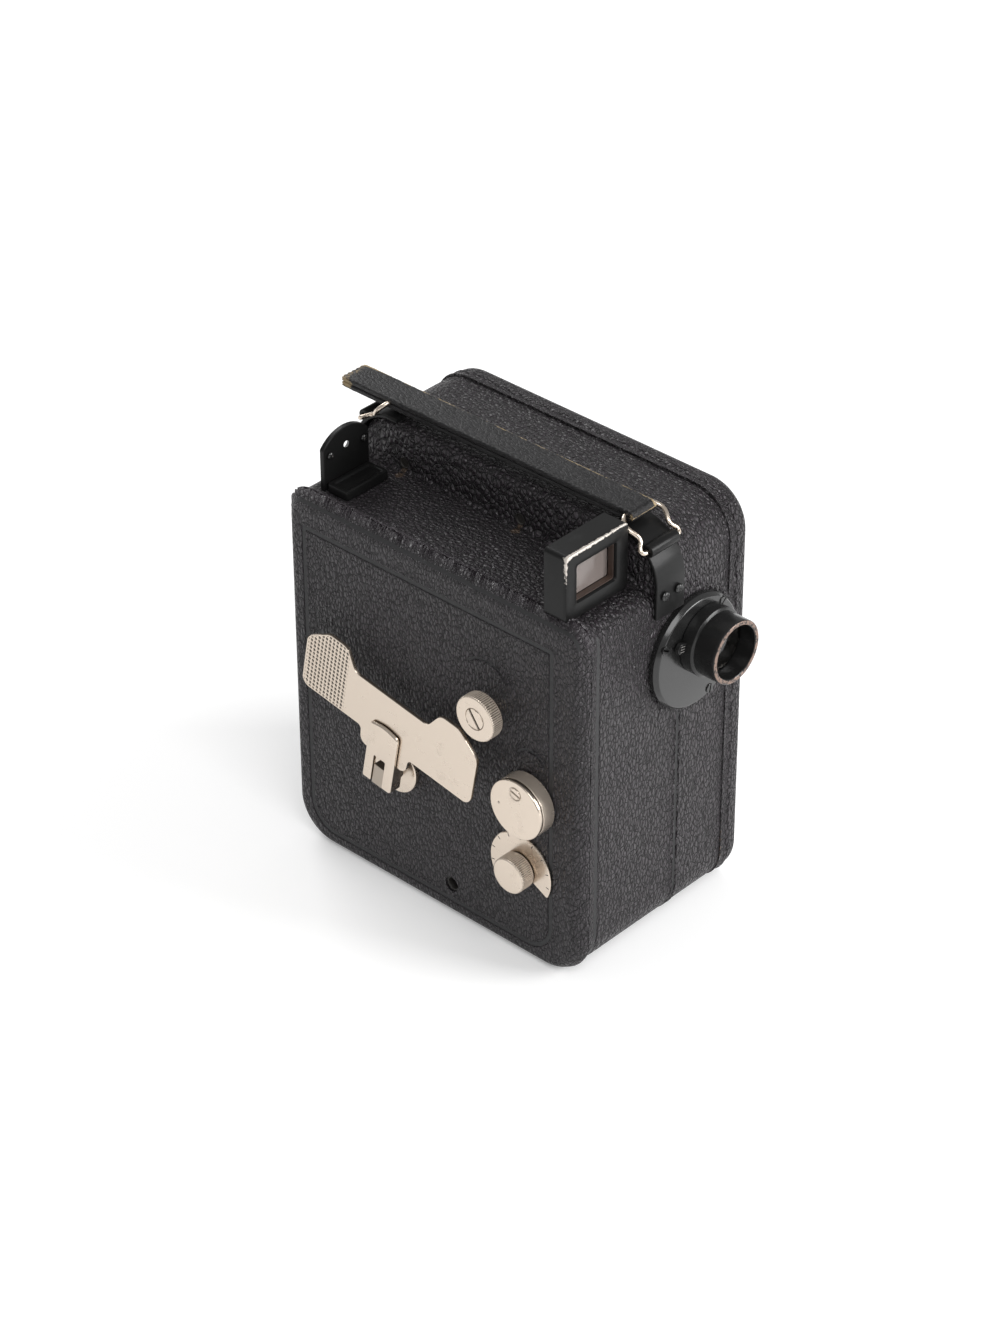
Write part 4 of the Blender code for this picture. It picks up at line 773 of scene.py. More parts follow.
def framed(sizes, y, z, low, high):
    """A frame pressed round a rectangle with round lower corners, as depth and smoothness.

    Across its line it is a flat-bottomed channel with a low lip on both sides."""
    middle, half = (low + high) / 2, (high - low) / 2
    radius = np.where(z < middle[1], 9 * MM, 0.3 * MM)
    past_y = np.abs(y - middle[0]) - half[0] + radius
    past_z = np.abs(z - middle[1]) - half[1] + radius
    inside = np.minimum(np.maximum(past_y, past_z), 0)
    away = np.hypot(np.maximum(past_y, 0), np.maximum(past_z, 0)) + inside - radius
    channel = 1 - smooth_step(np.abs(away), 0.4 * MM, 0.95 * MM)
    lip = bell(np.abs(away) - 1.25 * MM, 0.35 * MM)
    depth = sizes.groove * channel - 0.35 * sizes.groove * lip
    return depth, np.maximum(0.9 * channel, 0.3 * smooth_step(away, 0.0, 1.5 * MM))


def frame_marks(corners, fine):
    """Fine stations at a pressed frame's lines: those along y and those along z."""
    return [[(place, 1.7 * MM, fine) for place in places] for places in corners.T]


def casing_outline(sizes, inset, top, top_radius, fine, coarse):
    """The casing's side outline drawn in by an inset, as points and outward normals, closer together near its top."""
    half, low_radius, high_radius = HALF_LENGTH - inset, sizes.corner_radius - inset, top_radius - inset
    corners = [(-half, inset, low_radius), (half, inset, low_radius)]
    corners += [(half, top - inset, high_radius), (-half, top - inset, high_radius)]
    step = 0.1 * MM
    dense = resampled(rounded(corners, 14), step)
    weight = np.where(dense[:, 1] > top - 8 * MM, 1 / fine, 1 / coarse)
    run = np.concatenate(([0], np.cumsum(weight * step)))
    index = np.interp(np.linspace(0, run[-1], int(run[-1]), endpoint=False), run, np.arange(len(run)))
    closed = np.concatenate((dense, dense[:1]))
    points = np.stack([np.interp(index, np.arange(len(closed)), closed[:, k]) for k in (0, 1)], -1)
    return points, outline_normals(points)


def carried(x, points, normal, out):
    """An outline carried along x: (x, p + n out) for each place along x and each point p with its normal n."""
    grid = np.empty((*out.shape, 3))
    grid[..., 0] = x
    grid[..., 1:] = points[None] + normal[None] * out[..., None]
    return grid


def along_run(points):
    """The running length at each point of an outline."""
    return np.concatenate(([0], np.cumsum(np.linalg.norm(np.diff(points, axis=0), axis=1))))


def off_floor(height):
    """0 at the floor and 1 from 4 mm up, where a rolled edge has room below it."""
    return smooth_step(height, 0.2 * MM, 4 * MM)


def roll_share(height, on_top):
    """How far an edge is rolled: hardly at the floor, half on the walls and in full on top."""
    return 0.05 + 0.45 * off_floor(height) + 0.5 * on_top


def sunk(u, v, centre, radius, snap):
    """Grid places drawn onto a circle where they lie near it, and a mask of those inside it."""
    du, dv = u - centre[0], v - centre[1]
    away = np.hypot(du, dv)
    near = np.abs(away - radius) < snap
    scale = np.where(near, radius / np.maximum(away, 1e-9), 1.0)
    return centre[0] + du * scale, centre[1] + dv * scale, (away < radius) & ~near


def end_face(sizes, face_x, sign, top, top_radius, step, marks, pressed):
    """A flat end of the casing: y, z_low(y) + v (z_high(y) - z_low(y)) between the outline's lower and upper edges.

    The marks are fine stations along y and z. What pressed(y, z) gives is the places, drawn onto the edge of a hole,
    the depth of the embossing and how smooth the leather is there."""
    stand, fillet = sizes.skin_stand, sizes.edge_fillet
    half = HALF_LENGTH - fillet
    low_radius, high_radius = sizes.corner_radius - fillet, top_radius - fillet
    bend = np.sin(np.linspace(0, math.pi / 2, 13))
    ends = np.concatenate((half - low_radius * (1 - bend), half - high_radius * (1 - bend)))
    y = np.unique(np.concatenate((stations(-half, half, step, marks[0]), ends, -ends)))
    y = y[np.concatenate(([True], np.diff(y) > 0.015 * MM))]
    y[-1] = half
    v = (stations(fillet, top - fillet, 1.2 * step, marks[1]) - fillet) / (top - 2 * fillet)
    low = arched(y, half, low_radius, fillet, -1)
    high = arched(y, half, high_radius, top - fillet, 1)
    z = low[:, None] + (high - low)[:, None] * v[None]
    across = np.broadcast_to(y[:, None], z.shape)
    across, z, depth, smooth = pressed(across, z)
    return np.stack((face_x + sign * (stand - depth), across, z), -1), -smooth


def end_rim(sizes, face_x, sign, top, top_radius, seam_x, wrinkle):
    """The rounded edge of an end of the casing and its wall down to a rolled seam, with its wear.

    The outline turns through a quarter circle, p + n r sin a and x + r (1 - cos a), and runs on to the seam,
    where it swells by a bell that is wrinkled along the outline. Its first row is tucked under the flat end."""
    stand, fillet = sizes.skin_stand, sizes.edge_fillet
    points, normal = casing_outline(sizes, fillet, top, top_radius, 0.2 * MM, 0.42 * MM)
    turn = np.linspace(0, math.pi / 2, 13)
    reach = fillet + stand
    depth_to_seam = abs(face_x - seam_x)
    straight = stations(reach, depth_to_seam + stand, 0.3 * MM)[1:]
    out = np.concatenate((reach * np.sin(turn), np.full(len(straight), reach)))[:, None]
    inward = np.concatenate((reach * (1 - np.cos(turn)), straight))
    on_top = smooth_step(points[:, 1], top - 2.5 * fillet, top - 1.5 * fillet)
    run = along_run(points)[None] + 0.35 * inward[:, None]
    creased = wrinkle * crumple(run) * (0.3 + 0.7 * on_top)[None]
    rolled = bell(inward - depth_to_seam, 1.7 * MM)[:, None] * roll_share(points[:, 1] - fillet, on_top)[None]
    valley = bell(inward - depth_to_seam + 2.5 * MM, 0.8 * MM)[:, None] * on_top[None]
    out = out + sizes.ridge * (0.6 + 0.9 * wrinkle) * rolled * (1 + creased) - 1.1 * MM * wrinkle * valley
    out = np.concatenate((np.full((1, len(points)), -0.5 * MM), out, out[-1:] - 0.6 * MM))
    inward = np.concatenate(([0.04 * MM], inward, inward[-1:]))
    rim = carried(face_x + sign * (stand - inward[:, None]), points, normal, out)
    edge = bell(inward - depth_to_seam, 0.6 * MM)
    corner = bell(inward - 0.9 * MM, 0.8 * MM)
    glossy = bell(inward - depth_to_seam, 2.2 * MM)[:, None] * on_top[None]
    wear = (0.2 * edge + 0.1 * corner)[:, None] - min(2.2 * wrinkle, 0.95) * glossy
    return rim, wear


def skin(name, grid, closed, finish, body, wear, centre=(0, 0, LOW_TOP / 2)):
    """A leather skin from one grid, with its faces pointing away from a centre inside the casing."""
    flip = facing(grid, False, closed, np.array(centre))
    piece(name, [(grid, False, closed)], finish, body, (), [wear], flip=flip)


class CINE_OT_casing(bpy.types.Operator):
    """Covers the casing, its side cover and its film door with pebbled leather"""

    bl_idname = "cine.casing"
    bl_label = "Leather casing"

    def execute(self, context):
        sizes = context.scene.cine_sizes
        paint_nodes("paint", "body_shell", "side_cover", "film_door")
        self.cover(sizes)
        self.door(sizes)
        self.low_body(sizes)
        self.tall_body(sizes)
        self.step_wall(sizes)
        return {"FINISHED"}

    def cover(self, sizes):
        """The winding side, with its frame pressed smooth, two pressed arcs and the hole of the release socket."""
        width = 1.1 * sizes.groove_width
        socket = middle_of("socket_bush")[1:]

        def pressed(y, z):
            depth, smooth = framed(sizes, y, z, *COVER_FRAME)
            depth += 2.0 * sizes.groove * sum(arc_line(y, z, *arc, width) for arc in COVER_ARCS)
            y, z, hole = sunk(y, z, socket, 2.5 * MM, 0.28 * MM)
            return y, z, np.where(hole, 3.2 * MM, depth), smooth

        y_marks, z_marks = frame_marks(COVER_FRAME, 0.2 * MM)
        y_marks += [mm(-27, 15, 0.33)]
        z_marks += [(socket[1], 3 * MM, 0.25 * MM), mm(81, 14, 0.36)]
        end = (sizes, SIDE_X, -1, LOW_TOP, sizes.deck_radius)
        face, smooth = end_face(*end, 0.6 * MM, (y_marks, z_marks), pressed)
        rim, wear = end_rim(*end, COVER_HIGH[0], sizes.crumple)
        below = 9 * (rim[..., 2] < LOW_TOP - 3 * MM)
        scuff = np.hypot(rim[..., 0] - COVER_HIGH[0], rim[..., 1] - SCUFF_Y) + below
        wear += 0.5 * bell(scuff, 1.1 * MM)
        skin("cover_leather", face, False, "leather_side", "casing", smooth)
        skin("cover_edge_leather", rim, True, "leather_side", "casing", wear)

    def door(self, sizes):
        """The film door's side, with one frame pressed smooth and its edge rubbed low in front."""

        def pressed(y, z):
            return y, z, *framed(sizes, y, z, *DOOR_FRAME)

        end = (sizes, DOOR_X, 1, TALL_TOP, sizes.corner_radius)
        face, smooth = end_face(*end, 0.7 * MM, frame_marks(DOOR_FRAME, 0.22 * MM), pressed)
        rim, wear = end_rim(*end, DOOR_LOW[0], 0.3 * sizes.crumple)
        rubbed = smooth_step(-rim[..., 1], 0.9 * HALF_LENGTH, HALF_LENGTH) * bell(rim[..., 2] - 16 * MM, 14 * MM)
        wear += 0.36 * rubbed * bell(rim[..., 0] - DOOR_LOW[0], 1.2 * MM)
        skin("door_leather", face, False, "leather_side", "door", smooth)
        skin("door_edge_leather", rim, True, "leather_side", "door", wear)

    def low_body(self, sizes):
        """The low half of the body: its outline carried along x, with a rolled edge and a smooth valley by the seam."""
        points, normal = casing_outline(sizes, 0.0, LOW_TOP, sizes.deck_radius, 0.25 * MM, 0.6 * MM)
        start, end = BODY_LOW[0], sizes.step_x + sizes.edge_fillet
        x = stations(start, end, 1.2 * MM, [(start + 2 * MM, 3 * MM, 0.25 * MM)])
        x = np.concatenate((x[:1], x))[:, None]
        near = x - start
        on_top = smooth_step(points[:, 1], LOW_TOP - 4 * MM, LOW_TOP - 1 * MM)[None]
        creased = sizes.crumple * crumple(along_run(points)[None] - 0.35 * near) * (0.3 + 0.7 * on_top)
        rolled = bell(near, 1.5 * MM) * (1 + creased) * roll_share(points[None, :, 1], on_top)
        valley = bell(near - 3.1 * MM, 0.9 * MM) * (1 - on_top)
        out = sizes.skin_stand + sizes.ridge * rolled - 0.25 * MM * valley
        out[0] = -0.4 * MM
        wear = -0.8 * valley - 0.9 * bell(near, 1.9 * MM) * on_top
        for y in SCREW_HOLES:
            dusty = bell(np.hypot(x + 7.5 * MM, points[None, :, 0] - y), 2.2 * MM)
            wear = wear + 0.8 * dusty * on_top
        skin("deck_leather", carried(x, points, normal, out), True, "leather", "casing", wear)

    def tall_body(self, sizes):
        """The tall half of the body: its outline carried along x, with a butt seam in front and a hole below.

        It rises in a ring round the lens flange, and is sunk over the tripod bush."""
        points, normal = casing_outline(sizes, 0.0, TALL_TOP, sizes.corner_radius, 0.7 * MM, 0.6 * MM)
        start, end = sizes.step_x + sizes.edge_fillet, BODY_HIGH[0]
        marks = [(BUTT_SEAM_X, 1.3 * MM, 0.1 * MM), (end - 1 * MM, 1.8 * MM, 0.2 * MM)]
        x = stations(start, end, 0.7 * MM, marks)
        x = np.concatenate((x, x[-1:]))[:, None]
        below = 1 - smooth_step(points[:, 1], BUTT_SEAM_TOP - 1 * MM, BUTT_SEAM_TOP + 1 * MM)
        in_front = np.where(points[:, 0] < 0.7 * HALF_LENGTH, 1.0, 0.0)
        away = np.abs(x - BUTT_SEAM_X)
        seam = (bell(away, 0.4 * MM) - 0.3 * bell(away - 0.95 * MM, 0.3 * MM)) * (below * in_front)[None]
        rolled = bell(x - end, 0.9 * MM) * (1 + 0.25 * crumple(along_run(points))[None])
        clear = 0.1 + 0.9 * off_floor(points[None, :, 1])
        flange_low, flange_high = box_of("lens_flange")
        middle = (flange_low + flange_high) / 2
        ring = np.hypot(x - middle[0], points[None, :, 1] - middle[2]) - (flange_high[0] - middle[0])
        pushed = bell(ring - 0.9 * MM, 0.6 * MM) * (normal[None, :, 0] < -0.9)
        out = sizes.skin_stand - 0.9 * MM * seam + 0.5 * sizes.ridge * rolled * clear + 0.35 * MM * pushed
        out[-1] = -0.4 * MM
        grid = carried(x, points, normal, out)
        bush_low, bush_high = box_of("tripod_bush")
        bush = (bush_low + bush_high) / 2
        hole_radius = (bush_high - bush)[0] + 0.15 * MM
        beneath = (normal[None, :, 1] < -0.9) & (x < end)
        hole_x, hole_y, hole = sunk(grid[..., 0], grid[..., 1], bush[:2], hole_radius, 0.4 * MM)
        floor = np.where(hole, bush_low[2] + 1.0 * MM, grid[..., 2])
        grid = np.where(beneath[..., None], np.stack((hole_x, hole_y, floor), -1), grid)
        wear = 0.3 * bell(x - end + 0.2 * MM, 0.5 * MM) - 0.5 * np.maximum(seam, 0)
        skin("chamber_leather", grid, True, "leather", "casing", wear)

    def step_wall(self, sizes):
        """The wall over the deck: straight up from the deck to the tall outline's inset, then a quarter round."""
        stand, fillet = sizes.skin_stand, sizes.edge_fillet
        half, radius, foot = HALF_LENGTH, sizes.corner_radius, 104 * MM
        corners = [(half, foot, 0), (half, TALL_TOP, radius), (-half, TALL_TOP, radius), (-half, foot, 0)]
        edge = resampled(rounded(corners, 16, False), 0.7 * MM, False)
        tangent = np.gradient(edge, axis=0)
        normal = np.stack((tangent[:, 1], -tangent[:, 0]), -1)
        normal /= np.linalg.norm(normal, axis=1, keepdims=True)
        top = edge - normal * fillet
        deck = arched(top[:, 0], half, sizes.deck_radius, LOW_TOP, 1) - 0.3 * MM
        foot = np.minimum(top[:, 1], deck)
        rise = np.linspace(0, 1, 24)[:, None]
        wall = np.empty((len(rise), len(top), 3))
        wall[..., 1] = top[None, :, 0]
        wall[..., 2] = foot[None] + (top[:, 1] - foot)[None] * rise
        hollow = 0.9 * MM * bell(wall[..., 2] - LOW_TOP, 0.9 * MM)
        wall[..., 0] = sizes.step_x - stand - hollow
        turn = np.linspace(0, math.pi / 2, 12)[1:, None]
        reach = fillet + stand
        out = np.broadcast_to(reach * np.sin(turn), (len(turn), len(top)))
        curve = carried(sizes.step_x - stand + reach * (1 - np.cos(turn)), top, normal, out)
        grid = np.concatenate((wall, curve))
        wear = np.zeros(grid.shape[:2])
        wear[len(rise) - 1 :] = 0.15
        for y in SCREW_HOLES:
            wear += 0.72 * bell(np.hypot(grid[..., 1] - y, grid[..., 2] - LOW_TOP - 0.6 * MM), 2.0 * MM)
            self.screw_hole(sizes, y)
        skin("step_leather", grid, False, "leather", "casing", wear, mm(12, 0, 100))

    def screw_hole(self, sizes, y):
        """A sunk screw seen in its hole: a rim, a short wall and a floor in dark fill, painted shade standing for the
        hole's depth.
        """
        profile = mm((1.75, 0.25), (1.6, 0.3), (1.45, 0.2), (1.3, 0.06), (0, 0.06))
        grid = placed(turned(profile, 32), SIDE_AXES, (sizes.step_x - 0.12 * MM, y, LOW_TOP + 3.1 * MM))
        name = "step_hole_front" if y < 0 else "step_hole_rear"
        wear = np.array((0.3, 0.3, 0.1, 0.0, 0.0))[:, None]
        # Painted shade: the cup stands on the wall, and its dark fill stands for the shade in the hole
        piece(name, [(grid, False, True)], "mark", "casing", (), [wear])


class CINE_OT_lens(bpy.types.Operator):
    """Makes the lens flange, tube, glass and screws"""

    bl_idname = "cine.lens"
    bl_label = "Lens"

    def execute(self, context):
        low, high = box_of("lens_flange")
        thick, seat = high[1] - low[1], high[1]
        middle, axis = (low + high) / 2, middle_of("iris_disc")
        lens_origin = np.array((axis[0], seat, axis[2]))
        self.flange(np.array((middle[0], seat, middle[2])), lens_origin, (high[0] - low[0]) / 2, thick)
        self.tube(lens_origin, thick, seat - box_of("lens_barrel")[0][1])
        for index in (1, 2, 3):
            name = f"flange_screw_{index}"
            place = middle_of(name)
            place[1] = box_of(name)[1][1]
            grids = head_with_wall(*mm(1.4, 0.95, 0.42, 0.35, 0.15), 0.4 + 1.9 * index)
            grids = seated(grids, FRONT_AXES, place)
            piece(f"lens_screw_{index}", grids, "enamel", "casing", (name,), [0.1, 0.35], angle=25)
        paint_nodes("lens_glass", "front_lens")
        paint_nodes("enamel_dull", "iris_disc")
        self.glass(lens_origin)
        return {"FINISHED"}

    def flange(self, origin, lens_origin, radius, thick):
        """The flange: a disc with a soft edge, whose hole is centred on the tube."""
        hole = 9.4 * MM
        corners = [(hole, thick, 0), (radius - 0.9 * MM, thick, 0.5 * MM), (radius, thick - 1.3 * MM, 0.5 * MM)]
        profile = rounded([*corners, (radius, 0, 0), (hole, 0, 0)], 5, False)
        grid = turned(profile, 128)
        shift = lens_origin - origin
        grid[profile[:, 0] < hole + 0.1 * MM] += np.array((shift[0], shift[2], 0))
        level = profile[:, 1]
        wear = np.where((level < thick - 0.05 * MM) & (level > thick - 0.6 * MM), 0.3, 0.0)[:, None]
        grids = [(placed(grid, FRONT_AXES, origin), True, True)]
        piece("flange", grids, "enamel", "casing", ("lens_flange",), [wear])

    def tube(self, origin, thick, reach):
        """The stop tube: a collar at its foot, a plain bore, a worn rim at its end and a pointer with three lines."""
        outer, bore, collar, collar_top = mm(9.6, 8.05, 10.4, 6.6)
        foot = thick + 0.25 * MM
        corners = [
            (bore, reach - 3.0 * MM, 0),
            (bore, reach - 0.25 * MM, 0),
            (bore + 0.25 * MM, reach, 0.1 * MM),
            (outer - 0.05 * MM, reach, 0.4 * MM),
            (outer, reach - 1.0 * MM, 0),
            (outer, collar_top + 0.4 * MM, 0),
            (collar, collar_top, 0.25 * MM),
            (collar, foot, 0),
            (bore, foot, 0),
        ]
        profile = rounded(corners, 5, False)
        wear = np.where(profile[:, 1] > reach - 0.12 * MM, 0.6, 0.0)
        wear += np.where(np.abs(profile[:, 1] - collar_top) < 0.3 * MM, 0.12, 0.0)
        grids = [(placed(turned(profile, 128), FRONT_AXES, origin), True, True)]
        axes = FRONT_AXES @ turn_z(math.radians(168))
        pointer = rounded(mm((9, -1.6, 0), (12.6, -1.6, 0.6), (13.6, 0, 0.5), (12.6, 1.6, 0.6), (9, 1.6, 0)), 6)
        rings = plate_rings(resampled(pointer, 0.3 * MM), foot + 0.1 * MM, foot + 1.7 * MM, 0.25 * MM)
        grids.append((placed(capped(rings), axes, origin), False, True))
        wear = [wear[:, None], 0.1]
        piece("lens_tube_skin", grids, "lens_enamel", "lens_tube", ("lens_barrel",), wear)
        lines = []
        for across in mm(-0.8, 0.0, 0.8):
            outline = rectangle(10.9 * MM, 12.6 * MM, across - 0.12 * MM, across + 0.12 * MM, 0.1 * MM, 3)
            rings = plate_rings(outline, foot + 1.6 * MM, foot + 1.74 * MM, 0.03 * MM)
            lines.append((placed(capped(rings), axes, origin), False, True))
        piece("pointer_lines", lines, "pale_fill", "lens_tube")

    def glass(self, origin):
        """The front glass: two faces that fall away as the square of the radius."""
        low, high = box_of("front_lens")
        depth, rim = high[1] - low[1], (high[0] - low[0]) / 2
        r = np.linspace(0, 1, 14) * rim
        fall = 0.33 * depth * np.square(r / rim)
        profile = np.concatenate((np.column_stack((r, depth - fall)), np.column_stack((r, fall))[::-1]))
        grid = placed(turned(profile, 64), FRONT_AXES, (origin[0], high[1], origin[2]))
        piece("lens_glass", [(grid, False, True)], "lens_glass", "lens_tube", ("front_lens",))


class CINE_OT_finder(bpy.types.Operator):
    """Makes the finder's frame and its glass"""

    bl_idname = "cine.finder"
    bl_label = "Finder"

    def execute(self, context):
        low, high = box_of("finder_frame")
        g_low, g_high = box_of("finder_glass")
        margin, soft = mm(4.7, 0.35)
        deep = high[1] - low[1]

        def rings_of(rows):
            """Rounded rectangles drawn in by an inset, at a depth behind the finder's face."""
            rings = []
            for inset, radius, depth in rows:
                corners = (low[0] + inset, high[0] - inset, low[2] + inset, high[2] - inset)
                rings.append(at_level(rectangle(*corners, radius * MM, 7), low[1] + depth)[:, [0, 2, 1]])
            return np.stack(rings)

        opening = [(margin, 0.8, deep), (margin, 0.8, 2.4 * MM), (margin, 0.8, 0.9 * MM)]
        opening += [(margin - 0.35 * MM, 0.9, 0.25 * MM), (margin - 0.9 * MM, 1.2, 0.12 * MM)]
        face = [(margin - 1.4 * MM, 1.2, 0.0), (1.6 * MM, 1.6, 0.0), (soft, 1.5, 0.0), (0.1 * MM, 1.4, 0.1 * MM)]
        wall = [(0.0, 1.4, soft), (0.0, 1.4, 1.4 * MM), (0.0, 1.4, deep - soft), (soft, 1.5, deep)]
        rings = rings_of(opening + face + wall)
        x, z = rings[..., 0], rings[..., 2]
        wear = np.zeros(rings.shape[:2])
        top_edge = smooth_step(z, high[2] - 1.6 * MM, high[2] - 0.2 * MM)
        left_edge = smooth_step(-x, -low[0] - 1.4 * MM, -low[0]) * smooth_step(z, low[2] + 9 * MM, high[2])
        wear[7:10] = 0.6 * np.maximum(top_edge, 0.62 * left_edge)[7:10]
        wear[8] += 0.08
        chip = bell(np.hypot(x - low[0] - 0.6 * MM, z - high[2] + 0.9 * MM), 1.3 * MM)
        wear[6:11] += 0.5 * chip[6:11]
        grids = [(rings, True, True)]
        piece("finder_housing", grids, "enamel_dull", "casing", ("finder_frame",), [wear])
        outer, inner, near, far = margin + 0.02 * MM, margin + 0.27 * MM, 1.1 * MM, 2.9 * MM
        liner = rings_of([(outer, 0.75, far), (outer, 0.75, near), (inner, 0.6, near), (inner, 0.6, far)])
        piece("finder_liner", [(liner, True, True)], "liner", "casing")
        inset = 0.05 * MM
        outline = rectangle(g_low[0] + inset, g_high[0] - inset, g_low[2] + inset, g_high[2] - inset, 0.7 * MM, 5)
        pane = capped(plate_rings(resampled(outline, 0.5 * MM), 0.0, g_high[1] - g_low[1], 0.15 * MM))
        grids = [(placed(pane, FRONT_AXES, (0, g_high[1], 0)), False, True)]
        piece("finder_pane", grids, "finder_glass", "casing", ("finder_glass",))
        return {"FINISHED"}


class CINE_OT_sight(bpy.types.Operator):
    """Makes the rear sight: its base pad, its plate with a peep hole and its rivets"""

    bl_idname = "cine.sight"
    bl_label = "Rear sight"

    def execute(self, context):
        self.pad()
        self.leaf()
        dome = np.linspace(0, math.pi / 2, 8)
        profile = np.column_stack((1.1 * MM * np.sin(dome), 0.2 * MM + 0.55 * MM * np.cos(dome)))
        profile = np.concatenate((profile, [(1.1 * MM, 0), (0, 0)]))
        wear = np.array([0.5] * 3 + [0.1] * 7)[:, None]
        for name in ("sight_rivet_left", "sight_rivet_right"):
            place = middle_of(name)
            place[1] = box_of(name)[1][1]
            grids = [(placed(turned(profile, 32), FRONT_AXES, place), False, True)]
            piece(name + "_head", grids, "enamel", "casing", (name,), [wear])
        return {"FINISHED"}

    def pad(self):
        """The base: rounded rectangles drawn in by an inset as they rise, with a shallow tray in its top."""
        low, high = box_of("sight_base")
        tall = high[2] - low[2]
        rows = [(0, 0), (0, tall - 0.4 * MM), (0.12 * MM, tall - 0.1 * MM), (0.4 * MM, tall), (1.2 * MM, tall)]
        rows += [(1.5 * MM, tall - 0.15 * MM), (1.8 * MM, tall - 0.5 * MM), (2.4 * MM, tall - 0.45 * MM)]
        rings = []
        for inset, height in rows:
            corners = (low[0] + inset, high[0] - inset, low[1] + inset, high[1] - inset)
            radius = max(0.9 * MM - inset / 2, 0.2 * MM)
            rings.append(at_level(rectangle(*corners, radius, 5), low[2] + height))
        rings = capped(np.stack(rings))
        wear = np.zeros(rings.shape[:2])
        wear[3:5] = 0.22
        piece("sight_pad", [(rings, False, True)], "enamel_dull", "casing", ("sight_base",), [wear])

    def leaf(self):
        """The plate: rings between its arched outline and its peep hole, which widens towards the back."""
        low, high = box_of("sight_plate")
        half, height, thick = (high[0] - low[0]) / 2, high[2] - low[2], high[1] - low[1]
        arch, peep, bore, soft = mm(11.5, 11.6, 1.0, 0.22)
        tilt = math.acos(half / arch)
        angle = np.linspace(tilt, math.pi - tilt, 40)
        arc = np.stack((arch * np.cos(angle), height - arch + arch * np.sin(angle)), -1)
        outline = resampled(np.concatenate(([(-half, 0), (half, 0)], arc)), 0.35 * MM)
        bearing = np.arctan2(outline[:, 1] - peep, outline[:, 0])
        hole = np.stack((bore * np.cos(bearing), peep + bore * np.sin(bearing)), -1)
        wide = (hole - (0, peep)) * 2.1 + (0, peep)
        inner = outline - outline_normals(outline) * soft
        rows = [(wide, 0), (hole, thick), (hole * 0.97 + outline * 0.03, thick), (inner, thick)]
        rows += [(outline, thick - soft), (outline, soft), (inner, 0)]
        rings = np.stack([at_level(ring, level) for ring, level in rows])
        wear = np.zeros(rings.shape[:2])
        wear[3:5] = 0.36 * smooth_step(rings[3:5, :, 1], 6 * MM, 13 * MM)
        grids = [(placed(rings, FRONT_AXES, ((low[0] + high[0]) / 2, high[1], low[2])), True, True)]
        piece("sight_leaf", grids, "enamel_dull", "casing", ("sight_plate",), [wear])


